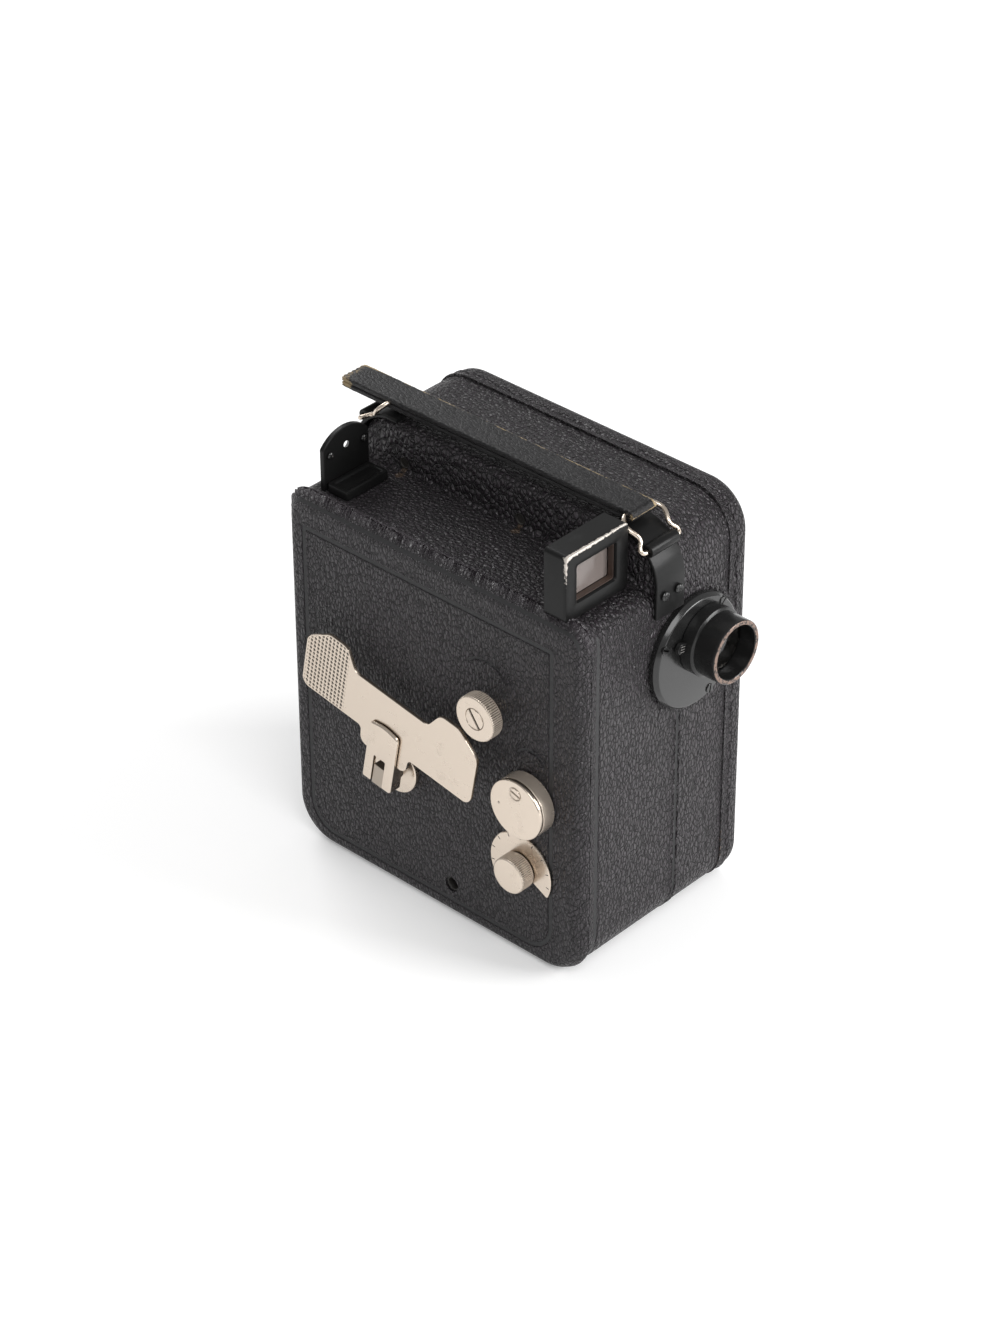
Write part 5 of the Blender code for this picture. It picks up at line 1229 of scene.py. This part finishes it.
class CINE_OT_strap(bpy.types.Operator):
    """Makes the strap, its brackets, their screws and the wire loops"""

    bl_idname = "cine.strap"
    bl_label = "Strap and loops"

    def execute(self, context):
        radius = context.scene.cine_sizes.corner_radius
        for name, sign in (("front", -1), ("rear", 1)):
            self.bracket(radius, name, sign)
            self.loop(radius, name, sign)
        self.band()
        return {"FINISHED"}

    def pivot(self, sign, radius):
        """Where a wire loop turns in its barrel, on the diagonal of the casing's corner."""
        out = (radius + STRIP_GAP + STRIP_STOCK + STRIP_BARREL / 3) / math.sqrt(2)
        return np.array((0, sign * (HALF_LENGTH - radius + out), TALL_TOP - radius + out))

    def bracket(self, radius, name, sign):
        """A strip bent round the top corner, carried along its path, with a curled barrel and two slotted screws."""
        node = name + "_bracket"
        low, high = box_of(node)
        half = (high[0] - low[0]) / 2
        middle = radius + STRIP_GAP + STRIP_STOCK / 2
        y, z = HALF_LENGTH - radius, TALL_TOP - radius
        angle = np.linspace(0, math.pi / 2, 20)
        arc = np.stack((y + middle * np.cos(angle), z + middle * np.sin(angle)), -1)
        straight = np.stack((np.full(24, y + middle), np.linspace(low[2], z, 24, endpoint=False)), -1)
        tongue = np.stack((np.linspace(y, y - 2.2 * MM, 4)[1:], np.full(3, z + middle)), -1)
        line = np.concatenate((straight, arc, tongue))
        path = np.column_stack((np.zeros(len(line)), sign * line[:, 0], line[:, 1]))
        section = rectangle(-half, half, -STRIP_STOCK / 2, STRIP_STOCK / 2, 0.35 * MM, 4)
        rings = swept(path, section, np.broadcast_to((0, sign, 1), path.shape))
        end, bore, soft = half - 0.05 * MM, STRIP_BARREL / 2, 0.25 * MM
        corners = [(bore, end, 0), (STRIP_BARREL, end, soft), (STRIP_BARREL, -end, soft), (bore, -end, 0)]
        barrel = placed(turned(rounded(corners, 4, False), 40), ACROSS_AXES, self.pivot(sign, radius))
        grids = [(capped(rings), False, True), (barrel, True, True)]
        piece(node + "_strip", grids, "enamel_dull", "casing", (node,), [0.02, 0.12])
        for side, turn in (("left", 1.1), ("right", 0.9)):
            screw = f"{node}_screw_{side}"
            place = middle_of(screw)
            place[1] = box_of(screw)[sign < 0][1]
            heads = head_with_wall(*mm(1.4, 0.75, 0.45, 0.4, 0.4), turn)
            heads = seated(heads, FRONT_AXES if sign < 0 else REAR_AXES, place)
            piece(screw + "_head", heads, "enamel", "casing", (screw,), [0.12, 0.0], angle=25)

    def loop(self, radius, name, sign):
        """A bent wire: a round section carried along a smooth path from the barrel, out, up and across.

        Half of the path is given as (past half the loop's width, along the loop), and mirrored."""
        low, high = box_of(name + "_loop")
        wire, long, bow = mm(0.7, 11.4, 0.9)
        half = (high[0] - low[0]) / 2 - wire
        rise = math.radians(39.0)
        along = np.array((0, -sign * math.cos(rise), math.sin(rise)))
        across = np.array((1.0, 0, 0))
        up = np.cross(across, along)
        foot = mm((-3.4, 0), (-1.2, 0), (0, 0), (0.75, 0.5), (0.8, 1.4), (0.2, 2.3), (-0.55, 3.1), (-0.75, 4.3))
        bar = mm((-0.25, 5.6), (0.35, 7.0), (0.45, 8.6), (-0.2, 10.1), (-1.5, 11.15), (-3.0, 11.4))
        half_path = np.concatenate((foot, bar)) + (half, 0)
        line = smooth_path(np.concatenate((half_path * (-1, 1), half_path[::-1])), 170)
        arch = bow * np.sin(math.pi * np.clip(line[:, 1:] / long, 0, 1)) ** 2
        path = self.pivot(sign, radius) + line[:, :1] * across + line[:, 1:] * along + arch * up
        rings = capped(swept(path, circle(wire, 16), np.broadcast_to(up, path.shape)))
        grids = [(rings, False, True)]
        piece(name + "_wire_loop", grids, "nickel", name + "_wire", (name + "_loop",))

    def band(self):
        """Two layers of hide in one skin: a section pinched at its mid height, carried along y.

        Its front end is rolled, its rear end is ragged, and its edges are nibbled a little."""
        low, high = box_of("strap")
        middle = (low + high) / 2
        half, thick = (high[0] - low[0]) / 2, high[2] - low[2]
        marks = [(low[1] + 1.5 * MM, 2 * MM, 0.15 * MM), (high[1] - 1 * MM, 1.5 * MM, 0.15 * MM)]
        y = stations(low[1], high[1], 0.8 * MM, marks)
        edge, lip, pinch = (half, thick / 2, 0.5 * MM), (half, 0.3 * MM, 0.25 * MM), (half - 0.55 * MM, 0.0, 0.1 * MM)
        signs = [(edge, -1, -1), (edge, 1, -1), (lip, 1, -1), (pinch, 1, 1), (lip, 1, 1)]
        signs += [(edge, 1, 1), (edge, -1, 1), (lip, -1, 1), (pinch, -1, 1), (lip, -1, -1)]
        corners = [(across * u, up * v, radius) for (u, v, radius), across, up in signs]
        section = resampled(rounded(corners, 4), 0.22 * MM)
        from_front, from_rear = y - low[1], high[1] - y
        roll = np.sqrt(np.clip(1 - np.square(np.clip(1 - from_front / (1.6 * MM), 0, 1)), 0.02, 1))
        flare = 1 - 0.10 * bell(from_rear, 1.2 * MM)
        u, v = section.T
        ragged = 0.18 * MM * np.sin(TAU * (u / (1.7 * MM) + v / (0.9 * MM)))
        nibble = 0.06 * MM * np.sin(TAU * y / (2.3 * MM) + 2 * np.sin(TAU * y / (9 * MM)))
        side = np.sign(u) * smooth_step(np.abs(u), half - 1.2 * MM, half)
        grid = np.empty((len(y), len(section), 3))
        grid[..., 0] = middle[0] + u[None] + nibble[:, None] * side[None]
        grid[..., 1] = y[:, None] - ragged[None] * bell(from_rear, 1.0 * MM)[:, None]
        grid[..., 2] = middle[2] + v[None] * (roll * flare)[:, None]
        far_edge = smooth_step(u, half - 1.2 * MM, half - 0.25 * MM) * smooth_step(v, 0.4 * MM, thick / 2 - 0.2 * MM)
        near_edge = smooth_step(-u, half - 0.5 * MM, half) * smooth_step(v, 0.6 * MM, thick / 2)
        patches = 0.46 + 0.3 * np.sin(TAU * y / (23 * MM) + 1.0 + 1.5 * np.sin(TAU * y / (41 * MM))) ** 2
        ends = 0.75 * bell(from_front, 2.0 * MM) + 1.15 * bell(from_rear, 4.6 * MM)
        raw = 0.47 + 0.4 * np.maximum(far_edge, np.abs(v) < 0.3 * thick)
        wear = far_edge[None] * patches[:, None] + 0.2 * near_edge[None] + ends[:, None] * raw[None]
        wear = np.minimum(wear, 0.75)
        wear = np.concatenate((wear[:1], wear, wear[-1:]))
        grids = [(capped(grid), False, True)]
        piece("strap_band_hide", grids, "hide", "strap_band", ("strap",), [wear], angle=50)


class CINE_OT_key(bpy.types.Operator):
    """Makes the folding winding key: its plate with a dimpled wing, its channel, boss and lug"""

    bl_idname = "cine.key"
    bl_label = "Winding key"

    def execute(self, context):
        low, high = box_of("winding_boss")
        axes = SIDE_AXES @ turn_z(-context.scene.cine_sizes.key_tilt)
        origin = (low + high) / 2
        origin[0] = SIDE_X
        self.plate(axes, origin)
        radius, bore = (high[1] - low[1]) / 2, 3.3 * MM
        base, top = SIDE_X - high[0], SIDE_X - low[0]
        corners = [(bore, top, 0), (radius, top, 0.4 * MM), (radius, base, 0), (bore, base, 0)]
        grid = placed(turned(rounded(corners, 6, False), 72), axes, origin)
        piece("boss", [(grid, True, True)], "nickel", "casing", ("winding_boss",))
        self.channel(axes, origin)
        paint_nodes("lug_steel", "winding_shaft", "key_pin")
        soften_nodes(0.22 * MM, "winding_shaft")
        return {"FINISHED"}

    def channel(self, axes, origin):
        """The hinged channel: a web with a slot and a rounded lip, and a cheek on each side for the pin."""
        half, slot, slot_top, foot, lip = mm(5.5, 2.2, 7.6, -2.0, 18.3)
        corners = [(foot, -half, 0.5 * MM), (lip, -half, 1.6 * MM), (lip + 1.2 * MM, 0, 12 * MM)]
        corners += [(lip, half, 1.6 * MM), (foot, half, 0.5 * MM), (foot, slot, 0.15 * MM)]
        corners += [(slot_top, slot, 0.3 * MM), (slot_top, -slot, 0.3 * MM), (foot, -slot, 0.15 * MM)]
        outline = resampled(rounded(corners, 10), 0.3 * MM)
        outer = np.maximum(np.abs(outline[:, 1]) - half + 0.1 * MM, outline[:, 0] - lip + 1.2 * MM)
        radius = 0.1 * MM + 0.45 * MM * smooth_step(outer, -0.5 * MM, 0.1 * MM)
        radius += 0.27 * MM * smooth_step(outline[:, 0], 16.5 * MM, lip)
        grids = round_plate(outline, 8.2 * MM, 9.1 * MM, radius, 0.08 * MM)
        for sign in (-1, 1):
            near, far = sorted((sign * half, sign * (half - 1.0 * MM)))
            outline = rectangle(foot + 0.05 * MM, 6.9 * MM, near + 0.03 * MM, far - 0.03 * MM, 0.3 * MM, 4)
            grids += round_plate(outline, 4.8 * MM, 8.6 * MM, 0.05 * MM, 0.2 * MM)
        piece("key_channel", seated(grids, axes, origin), "nickel", "key", ("key_bracket",))

    def plate(self, axes, origin):
        """The key's plate: along it u, and between its lower and upper edges v, both edges smooth curves of u.

        The wing on the plus side has round dimples at a square pitch, darkened by painted shade."""
        span, stand, stock, pitch, soft = mm(33, 6.9, 1.0, 1.36, 0.12)
        half_lower = mm((8.9, 7.5, 2.6), (9.2, 13, 1.5), (33, 13, 3), (33, 30, 0))
        half_upper = mm((14, 29.7, 3), (18, 36.2, 3.4), (25, 36.2, 4), (33, 30.5, 4), (33, 15, 0))
        bend = 4 * MM * (1 - np.cos(np.linspace(0, math.pi / 2, 16)))
        tab = mm(-9.2, -9.05, -8.9, 8.9, 9.05, 9.2)
        u = np.concatenate((stations(-span, span, 0.45 * MM, [mm(24.6, 8.4, 0.125)]), span - bend, bend - span, tab))
        u = np.unique(np.round(u, 7))
        low_v, high_v = self.edge(half_lower, u)[:, None], self.edge(half_upper, u)[:, None]
        plane_v = low_v + (high_v - low_v) * np.linspace(0, 1, 170)[None]
        plane_u = np.broadcast_to(u[:, None], plane_v.shape)
        inside = np.minimum(plane_v - low_v, high_v - plane_v)
        du = (plane_u / pitch - np.round(plane_u / pitch)) * pitch
        dv = (plane_v / pitch - np.round(plane_v / pitch)) * pitch
        field = smooth_step(plane_u, 16.6 * MM, 16.7 * MM) * smooth_step(32.4 * MM - plane_u, 0, 0.1 * MM)
        field *= smooth_step(inside, 0.5 * MM, 0.6 * MM)
        dimple = field * (1 - smooth_step(np.hypot(du, dv), 0.36 * MM, 0.54 * MM))
        away = np.minimum(inside, span - np.abs(plane_u))
        fall = soft * np.square(1 - np.clip(away / soft, 0, 1))
        top = np.stack((plane_v, plane_u, stand + stock - fall - 0.3 * MM * dimple), -1)
        border = np.concatenate((top[:-1, 0], top[-1, :-1], top[:0:-1, -1], top[0, :0:-1]))
        base = border * np.array((1, 1, 0)) + np.array((0, 0, stand))
        grids = [(top, False, False), (np.stack((border, base)), False, True), (base[None], False, True)]
        grids = seated(grids, axes, origin)
        # Painted shade: a high wear level in the dimples paints them dark
        piece("key_leaf", grids, "nickel", "key", ("key_plate",), [0.9 * dimple, 0.0, 0.0], angle=40)

    def edge(self, half_corners, u):
        """An edge's height at each u: the rounded line through the corners and their mirror image, interpolated."""
        line = rounded(np.concatenate((half_corners[::-1] * (-1, 1, 1), half_corners)), 12, False)
        order = np.argsort(line[:, 0], kind="stable")
        return np.interp(u, line[order, 0], line[order, 1])


class CINE_OT_knobs(bpy.types.Operator):
    """Makes the release, counter and speed knobs, the speed dial and the release socket"""

    bl_idname = "cine.knobs"
    bl_label = "Knobs"

    def execute(self, context):
        sizes = context.scene.cine_sizes
        self.release()
        self.knurled("counter_knob", "counter", sizes.counter_teeth, 4.0 * MM, 3.3 * MM)
        self.knurled("speed_knob", "speed", sizes.speed_teeth, 1.3 * MM, 0.0)
        self.screw("counter_screw", "counter", 3.15 * MM, 0.8 * MM, -0.955)
        self.screw("cap_screw", "release", 1.75 * MM, 0.5 * MM, -0.318)
        self.dial()
        profile = rounded(mm((1.4, -3, 0), (1.9, -0.6, 0.2), (2.4, -0.5, 0.1), (2.4, -5, 0), (1.4, -5, 0)), 5, False)
        grid = placed(turned(profile, 40), SIDE_AXES, self.place("socket_bush")[0])
        # The eyelet's near-black fill is partly its own colour and partly painted shade inside the socket's hole
        piece("socket_eyelet", [(grid, True, True)], "mark", "casing", ("socket_bush",))
        return {"FINISHED"}

    def place(self, node):
        """A node's place on the winding side, its radius, and the heights of its foot and top over the casing."""
        low, high = box_of(node)
        centre = (low + high) / 2
        centre[0] = SIDE_X
        return centre, (high[1] - low[1]) / 2, SIDE_X - high[0], SIDE_X - low[0]

    def release(self):
        """The release: a plain drum, a joint line, and a cap with a small rounded edge.

        Its index pit and its screw's well are sunk by smooth steps of the distance to their middles, and painted with
        shade."""
        origin, radius, _, top = self.place("release_knob")
        foot = 0.3 * MM
        corners = [(0, top, 0), (radius - 0.05 * MM, top, 0.1 * MM), (radius, top - 0.25 * MM, 0.1 * MM)]
        corners += [(radius, foot + 0.2 * MM, 0.2 * MM), (radius - 0.3 * MM, foot, 0), (0, foot, 0)]
        profile = rounded(corners, 6, False)
        grids = [(placed(turned(profile, 96), SIDE_AXES, origin), False, True)]
        wear = np.where(profile[:, 0] > radius - 0.1 * MM, 0.12, 0.0)[:, None]
        piece("release_drum", grids, "nickel", "release", ("release_knob",), [wear])
        _, radius, foot, cap_top = self.place("release_cap")
        edge, rim = mm(0.4, 0.9)
        r = np.concatenate((np.linspace(0, radius - rim, 44), radius - rim + np.linspace(0, rim, 12)[1:]))
        over = np.clip((r - radius + edge) / edge, 0, 1)
        level = cap_top - edge * (1 - np.sqrt(np.clip(1 - np.square(over), 0, 1)))
        wall = [(radius, foot + 0.1 * MM), (radius - 0.12 * MM, foot), (0, foot)]
        grid = turned(np.concatenate((np.column_stack((r, level)), wall)), 120)
        flat = grid[: len(r)]
        pit = np.hypot(flat[..., 0] + 0.3 * MM, flat[..., 1] - 6.1 * MM)
        well = np.hypot(flat[..., 0] - 5.4 * MM, flat[..., 1])
        flat[..., 2] -= 0.3 * MM * (1 - smooth_step(pit, 0.2 * MM, 0.42 * MM))
        flat[..., 2] -= 0.35 * MM * (1 - smooth_step(well, 1.95 * MM, 2.1 * MM))
        wear = np.zeros(grid.shape[:2])
        # Painted shade in the index pit and in a thin ring round the edge of the screw's well
        pit_shade = 1 - smooth_step(pit, 0.25 * MM, 0.45 * MM)
        wear[: len(r)] = 0.75 * pit_shade + 0.45 * bell(well - 2.0 * MM, 0.16 * MM)
        grids = [(placed(grid, SIDE_AXES, origin), False, True)]
        piece("release_face", grids, "nickel", "release", ("release_cap",), [wear])

    def knurled(self, node, body, teeth, foot, ring_at):
        """A knurled knob on a thin neck: its radius less the depth times sin2(teeth a / 2) on its side wall.

        Inside the ring, where there is one, its face is sunk for a screw."""
        origin, radius, _, top = self.place(node)
        depth, sink, neck, base = mm(0.24, 0.75, 1.8, 0.1)
        side = np.linspace(top - 0.45 * MM, foot + 0.4 * MM, 10)
        inner = np.linspace(0, radius - 0.8 * MM, 40)
        level = top - sink * (1 - smooth_step(inner, ring_at - 0.08 * MM, ring_at + 0.08 * MM)) * bool(ring_at)
        face = np.column_stack((inner, level))
        shoulder = [(radius - 0.5 * MM, top), (radius - 0.2 * MM, top - 0.12 * MM)]
        wall = np.column_stack((np.full(len(side), radius), side))
        below = [(radius - 0.3 * MM, foot), (neck, foot), (neck, base), (0, base)]

        def wobble(angle, r):
            on_wall = smooth_step(r, radius - 0.35 * MM, radius - 0.05 * MM)
            return depth * on_wall * np.square(np.sin(angle * teeth / 2))

        sides = teeth * 8
        grid = turned(np.concatenate((face, shoulder, wall, below)), sides, wobble)
        wear = np.zeros(grid.shape[:2])
        first = len(face) + len(shoulder)
        # Painted shade: the wall is dulled, and the valleys between its teeth are darkened
        valley_shade = np.sin(np.linspace(0, TAU, sides, endpoint=False) * teeth / 2)[None] ** 6
        wear[first : first + len(wall)] = 0.2 + 0.6 * valley_shade
        grids = [(placed(grid, SIDE_AXES, origin), False, True)]
        piece(node + "_turned", grids, "nickel", body, (node,), [wear], angle=60)

    def screw(self, node, body, radius, slot, turn):
        """A slotted screw let into a knob's face, with painted shade in its slot."""
        origin, _, _, top = self.place(node)
        height, depth, edge = mm(0.5, 0.42, 0.12)
        grids = head_with_wall(radius, height, slot, depth, edge, turn)
        grids = seated(grids, SIDE_AXES, origin - (top - 0.47 * MM, 0, 0))
        across = slotted_head(radius, height, slot, depth, edge)[..., 0]
        # Painted shade: the slot gets a high wear level that paints it dark
        wear = [np.where(np.abs(across) <= slot / 2 + 0.02 * MM, 0.8, 0.0), 0.3]
        piece(node + "_head", grids, "nickel", body, (node,), wear, angle=25)

    def dial(self):
        """The speed dial: a flat arc between two radii, with plain ticks standing as dark fill."""
        _, _, base, top = self.place("speed_dial")
        origin = self.place("speed_knob")[0]
        spread = math.radians(118)
        outer, inner, soft = mm(11.3, 5.2, 0.25)
        angle = np.linspace(-spread, spread, 90)
        rows = [(inner, base), (inner, top), (outer - soft, top), (outer, top - soft), (outer, base)]
        arcs = [np.stack((r * np.cos(angle), r * np.sin(angle), np.full_like(angle, t)), -1) for r, t in rows]
        grids = [(placed(capped(np.stack(arcs, 1)), SIDE_AXES, origin), False, True)]
        piece("dial_plate", grids, "nickel", "casing", ("speed_dial",))
        outline = rectangle(*mm(9.8, 10.9, -0.13, 0.13, 0.1), 3)
        tick = capped(plate_rings(outline, top - 0.1 * MM, top + 0.03 * MM, 0.02 * MM))
        ticks = [(tick @ turn_z(a).T, False, True) for a in np.radians(np.linspace(-100, 100, 9))]
        piece("dial_ticks", seated(ticks, SIDE_AXES, origin), "mark", "casing")


class CINE_OT_fittings(bpy.types.Operator):
    """Finishes the door lock, the hinge, the base bush, the film path and the clockwork"""

    bl_idname = "cine.fittings"
    bl_label = "Fittings and clockwork"

    def execute(self, context):
        paint_nodes("nickel", "lock_knob")
        paint_nodes("steel", "door_pin", "lock_post", "mainspring", "ratchet_wheel", "click", "click_stud")
        paint_nodes("steel", "gate_plate", "pressure_plate", "claw", "feed_spindle", "takeup_spindle")
        paint_nodes("brass", "tripod_bush", "spring_barrel", "second_wheel", "third_wheel", "governor")
        paint_nodes("aluminium", "centre_plate")
        paint_nodes("enamel_dull", "shutter_disc", "feed_spool", "takeup_spool")
        soften_nodes(0.3 * MM, "lock_knob")
        return {"FINISHED"}


# The photograph's view: the camera's bearing, height and roll in degrees, its place, lens and shift, found from the
# casing's edges
VIEW_ANGLES = (-47.204, 34.228, -0.240)
VIEW_PLACE = (-0.68717, -0.63002, 0.70045)
VIEW_LENS, VIEW_SHIFT = 108.51, 0.0023
# Soft lamps: name, place, the height that they are aimed at, size and power
LAMPS = (
    ("key_lamp", (-0.45, -0.8, 1.1), 0.06, 0.7, 7.0),
    ("fill_lamp", (0.6, -1.0, 0.55), 0.06, 0.6, 13.5),
    ("back_lamp", (0.3, 1.0, 0.8), 0.08, 0.7, 8.0),
)


class CINE_OT_stage(bpy.types.Operator):
    """Sets the camera, the pale floor and the soft studio light"""

    bl_idname = "cine.stage"
    bl_label = "Stage"

    def execute(self, context):
        self.camera(context)
        self.floor(context)
        self.world(context)
        for values in LAMPS:
            self.lamp(context, *values)
        context.scene.view_settings.view_transform = "Standard"
        return {"FINISHED"}

    def stand(self, context, data, axes, place):
        """A camera or lamp put in its place, with its axes as columns; it looks along minus z."""
        matrix = np.eye(4)
        matrix[:3, :3] = axes
        matrix[:3, 3] = place
        item = bpy.data.objects.new(data.name, data)
        context.scene.collection.objects.link(item)
        item.matrix_world = Matrix(matrix.tolist())
        return item

    def camera(self, context):
        """The camera at the photograph's viewing angle."""
        bearing, rise, roll = np.radians(VIEW_ANGLES)
        level = np.array((math.sin(bearing), -math.cos(bearing), 0.0))
        back = level * math.cos(rise) + np.array((0, 0, math.sin(rise)))
        right = np.array((math.cos(bearing), math.sin(bearing), 0.0))
        data = bpy.data.cameras.new("photo_camera")
        data.lens = VIEW_LENS
        data.sensor_width = 36.0
        data.shift_y = VIEW_SHIFT
        data.clip_start = 0.05
        axes = np.column_stack((right, np.cross(back, right), back)) @ turn_z(roll)
        context.scene.camera = self.stand(context, data, axes, VIEW_PLACE)

    def lamp(self, context, name, place, aim, size, power):
        """A square soft lamp aimed at a point over the origin."""
        data = bpy.data.lights.new(name, "AREA")
        data.size = size
        data.energy = power
        back = np.array(place) - (0, 0, aim)
        back /= np.linalg.norm(back)
        right = np.cross((0, 0, 1), back)
        right /= np.linalg.norm(right)
        self.stand(context, data, np.column_stack((right, np.cross(back, right), back)), place)

    def floor(self, context):
        """A wide pale floor just under the camera's lowest point: x = u, y = v."""
        u = np.linspace(-3, 3, 9)
        x, y = np.meshgrid(u, u, indexing="ij")
        grid = np.stack((x, y, np.full_like(x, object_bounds()[0][2] - 0.02 * MM)), -1)
        mesh = bpy.data.meshes.new("floor")
        mesh.from_pydata(grid.reshape(-1, 3).tolist(), [], grid_faces(*x.shape, False, False).tolist())
        mesh.materials.append(self.floor_material())
        item = bpy.data.objects.new("floor", mesh)
        context.scene.collection.objects.link(item)
        item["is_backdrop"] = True

    def floor_material(self):
        """Pale floor that the camera and reflections see a little brighter, up to white, and that keeps its shadow."""
        white, pale = (1.0, 1.0, 1.0, 1.0), (0.86, 0.86, 0.86, 1.0)
        made, tree, inputs, where = new_material(
            "pale_floor", 0.9, Base_Color=pale, Specular_IOR_Level=0.0, Emission_Color=white
        )
        away = add_node(tree, "ShaderNodeVectorMath", {0: where}, operation="LENGTH").outputs["Value"]
        glow = scaled(tree, ramp(tree, away, 0.4, 1.4), 0.6, 0.22)
        seen = self.rays(tree, "Camera", "Glossy", "Transmission")
        plug(tree, inputs["Emission Strength"], maths(tree, "MULTIPLY", seen, glow))
        return made

    def rays(self, tree, first, *others):
        """1 for rays of the named kinds."""
        path = tree.nodes.new("ShaderNodeLightPath").outputs
        found = path[f"Is {first} Ray"]
        for kind in others:
            found = maths(tree, "MAXIMUM", found, path[f"Is {kind} Ray"])
        return found

    def world(self, context):
        """White for the camera and through glass, and a soft grey light for the rest."""
        world = bpy.data.worlds.new("studio")
        context.scene.world = world
        world.use_nodes = True
        tree = world.node_tree
        inputs = tree.nodes["Background"].inputs
        inputs["Color"].default_value = (1.0, 1.0, 1.0, 1.0)
        clear = self.rays(tree, "Camera", "Transmission")
        plug(tree, inputs["Strength"], scaled(tree, clear, 0.58, 0.42))


class CINE_PT_panel(bpy.types.Panel):
    """Lists the camera's pieces, sizes and colours"""

    bl_label = "Cine camera"
    bl_idname = "CINE_PT_panel"
    bl_space_type = "VIEW_3D"
    bl_region_type = "UI"
    bl_category = "Cine camera"

    def draw(self, context):
        for operator in OPERATORS:
            self.layout.operator(operator.bl_idname)
        for group in (context.scene.cine_sizes, context.scene.cine_finishes):
            for key in group.__annotations__:
                self.layout.prop(group, key)


OPERATORS = (
    CINE_OT_casing,
    CINE_OT_lens,
    CINE_OT_finder,
    CINE_OT_sight,
    CINE_OT_strap,
    CINE_OT_key,
    CINE_OT_knobs,
    CINE_OT_fittings,
    CINE_OT_stage,
)
CLASSES = (CineSizes, CineFinishes, *OPERATORS, CINE_PT_panel)


def register():
    """Add the classes and the scene's settings."""
    for made in CLASSES:
        bpy.utils.register_class(made)
    bpy.types.Scene.cine_sizes = PointerProperty(type=CineSizes)
    bpy.types.Scene.cine_finishes = PointerProperty(type=CineFinishes)


def unregister():
    """Take the classes and the settings away."""
    del bpy.types.Scene.cine_sizes
    del bpy.types.Scene.cine_finishes
    for made in reversed(CLASSES):
        bpy.utils.unregister_class(made)


def main():
    """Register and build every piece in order."""
    register()
    for operator in OPERATORS:
        getattr(bpy.ops.cine, operator.bl_idname.split(".")[1])()


if __name__ == "__main__":
    main()
